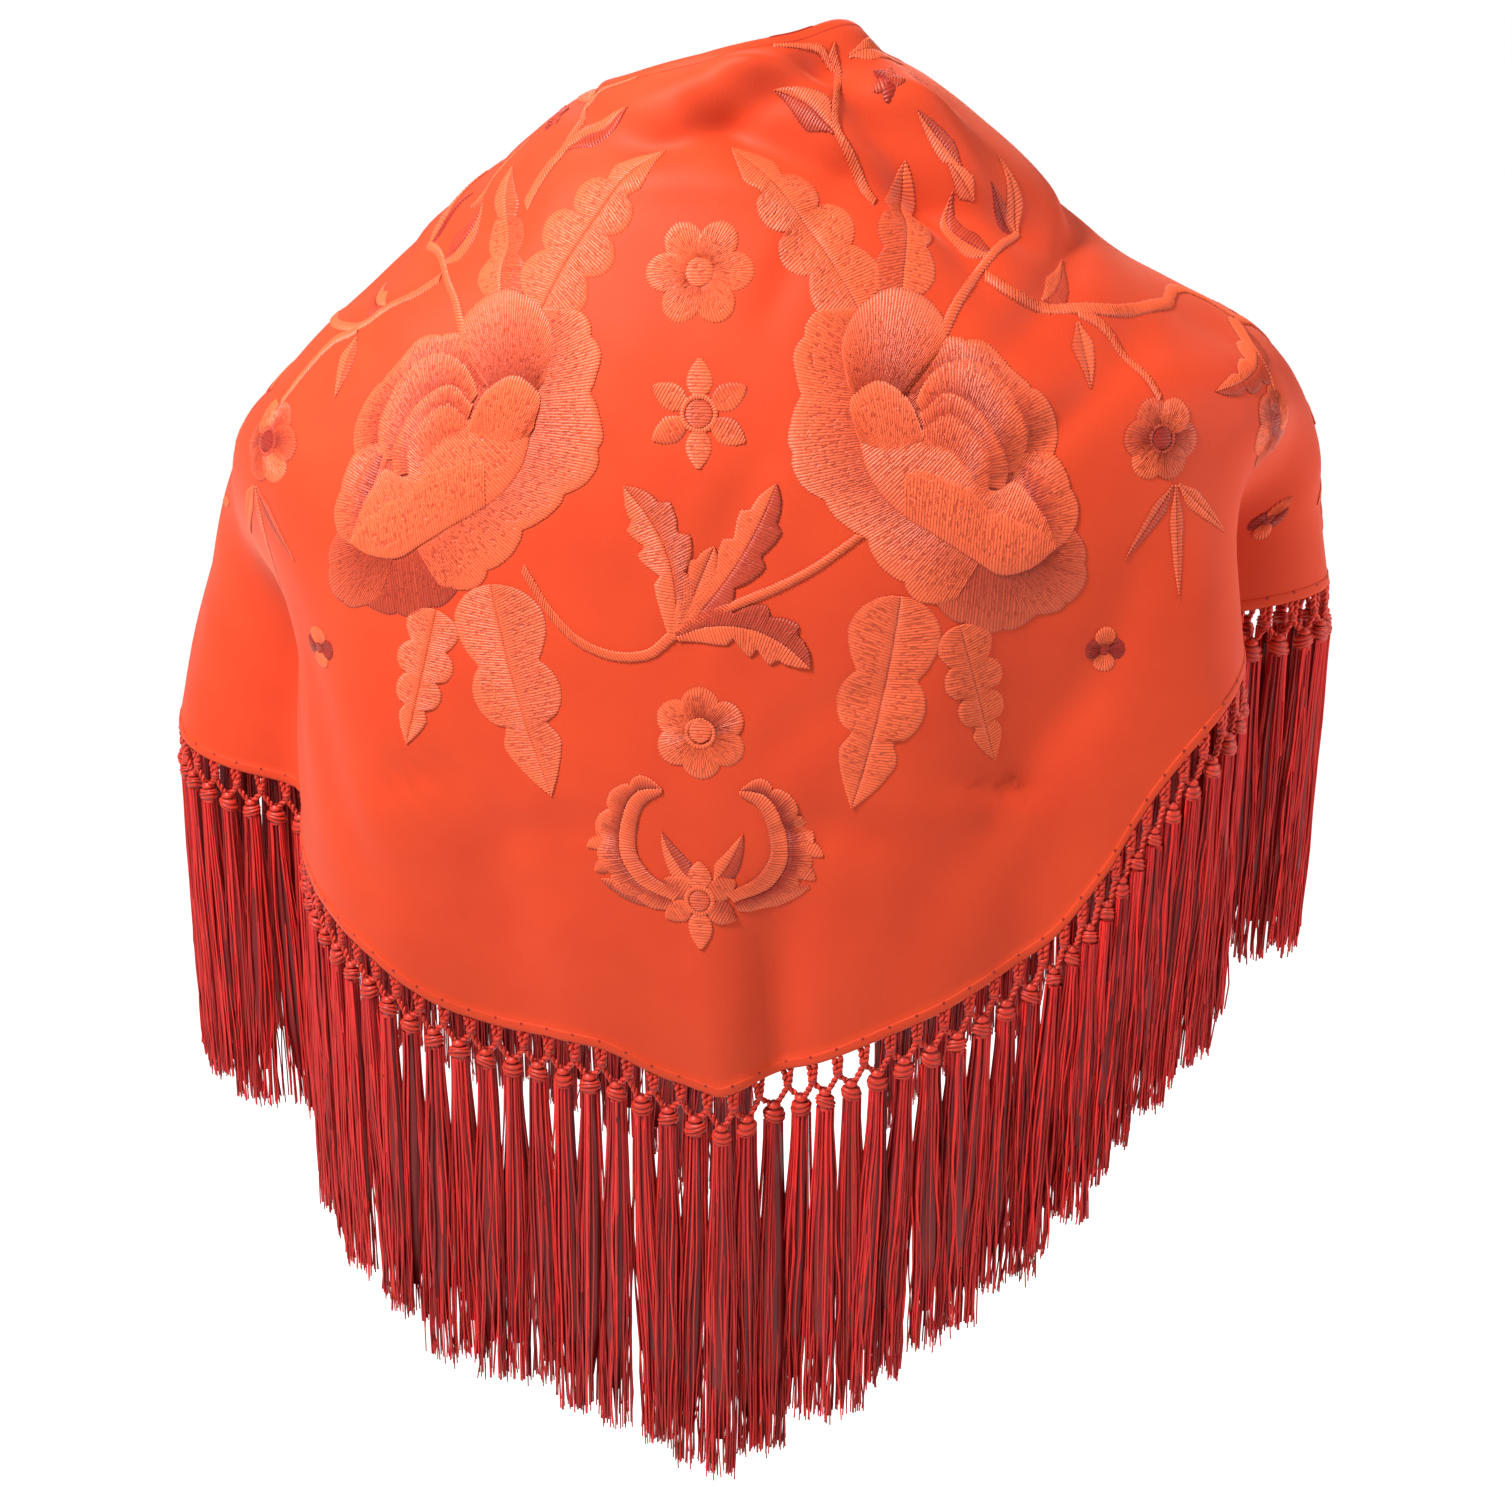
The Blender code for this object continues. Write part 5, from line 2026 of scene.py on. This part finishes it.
    def build(self, heading: bpy.types.Material, silk: bpy.types.Material) -> list[bpy.types.Object]:
        """Makes the four stretches, parted at the point's tassel and at the arms."""
        right_split = round(self.right_count * self.arm_share)
        left_split = round(self.left_count * self.arm_share)
        pieces = []
        for name, first, last, close in (
            ("fringe_front_right", -self.right_count, -right_split - 1, False),
            ("fringe_back_right", -right_split, -1, True),
            ("fringe_back_left", 0, left_split, True),
            ("fringe_front_left", left_split + 1, self.left_count, True),
        ):
            pieces += self.stretch(name, first, last, close, heading, silk)
        pieces.append(self.needle_holes(heading))
        return pieces


@dataclass
class Studio:
    """Pale floor, soft lights and the camera behind the wearer."""

    target: tuple[float, float, float] = (0.0, 0.0, -0.300)
    distance: float = 1.06
    azimuth: float = 192.0
    elevation: float = 22.0
    roll: float = -2.0
    focal_pixels: float = 2400.0
    image_pixels: float = 1512.0
    sensor: float = 36.0
    floor_height: float = -1.42
    floor_size: float = 60.0

    def camera(self) -> None:
        """Sets the camera at the photograph's viewing angle."""
        azimuth, elevation, roll = (math.radians(a) for a in (self.azimuth, self.elevation, self.roll))
        back = Vector(
            (
                math.sin(azimuth) * math.cos(elevation),
                -math.cos(azimuth) * math.cos(elevation),
                math.sin(elevation),
            )
        )
        right = Vector((0, 0, 1)).cross(back).normalized()
        above = back.cross(right)
        turned_right = right * math.cos(roll) + above * math.sin(roll)
        turned_above = above * math.cos(roll) - right * math.sin(roll)
        lens = bpy.data.cameras.new("camera")
        lens.sensor_width = self.sensor
        lens.lens = self.focal_pixels / self.image_pixels * self.sensor
        lens.clip_end = 200
        camera = bpy.data.objects.new("camera", lens)
        matrix = Matrix((turned_right, turned_above, back)).transposed().to_4x4()
        matrix.translation = Vector(self.target) + back * self.distance
        camera.matrix_world = matrix
        bpy.context.scene.collection.objects.link(camera)
        bpy.context.scene.camera = camera

    def area_light(
        self, name: str, place: tuple[float, float, float], size: float, power: float, colour: str
    ) -> None:
        """A large soft light that faces the shawl."""
        data = bpy.data.lights.new(name, "AREA")
        data.shape = "DISK"
        data.size = size
        data.energy = power
        data.color = linear(colour)[:3]
        light = bpy.data.objects.new(name, data)
        light.location = place
        light.rotation_mode = "QUATERNION"
        light.rotation_quaternion = (Vector(place) - Vector(self.target)).to_track_quat("Z", "Y")
        bpy.context.scene.collection.objects.link(light)

    def lights(self) -> None:
        """A key from the upper left of the camera, a weaker fill, and a pale surround."""
        self.area_light("key", (0.52, 0.52, 0.66), 0.22, 23.5, "#fff8f4")
        self.area_light("fill", (-1.5, 0.0, 0.3), 1.0, 16.0, "#fff0ec")
        self.area_light("front", (0.4, -1.8, 0.9), 1.4, 12.0, "#fffaf5")
        world = bpy.data.worlds.new("surround")
        world.use_nodes = True
        world.node_tree.nodes["Background"].inputs["Color"].default_value = linear("#ffffff")
        world.node_tree.nodes["Background"].inputs["Strength"].default_value = 0.13
        bpy.context.scene.world = world
        bpy.context.scene.view_settings.view_transform = "Standard"

    def floor(self) -> None:
        """A plain pale floor, far below the fringe as under a standing wearer."""
        half = self.floor_size / 2
        mesh = bpy.data.meshes.new("floor")
        corners = [(-half, -half, 0), (half, -half, 0), (half, half, 0), (-half, half, 0)]
        mesh.from_pydata(corners, [], [(0, 1, 2, 3)])
        mesh.materials.append(FloorFinish().make())
        floor = bpy.data.objects.new("floor", mesh)
        floor.location = (0, 0, self.floor_height)
        bpy.context.scene.collection.objects.link(floor)

    def build(self) -> None:
        """Sets up the whole studio."""
        self.camera()
        self.lights()
        self.floor()
        LOG.info("studio ready")


def main() -> None:
    """Builds the shawl's pieces in order."""
    logging.basicConfig(level=logging.INFO, format="%(name)s %(message)s")
    Studio().build()
    drape = Drape()
    panel = Panel(drape)
    crepe = CrepeFinish().make()
    floss = SatinFinish().make()
    heading = CordFinish("cord_twisted_rayon", "#d63a28", "#640a0d", 0.45).make()
    silk = CordFinish("thread_loose_rayon", "#e02a26", "#690609", 0.38).make()
    cloth, hems = ClothPanel(panel).build(crepe)
    stitched = [
        RoseSpray(drape, Side.RIGHT, 1).build(floss),
        RoseSpray(drape, Side.LEFT, 2).build(floss),
        AxisMotifs(drape).build(floss),
        SideSpray(drape, Side.RIGHT, 3).build(floss),
        SideSpray(drape, Side.LEFT, 4).build(floss),
    ]
    fringe = KnottedFringe(panel).build(heading, silk)


if __name__ == "__main__":
    main()
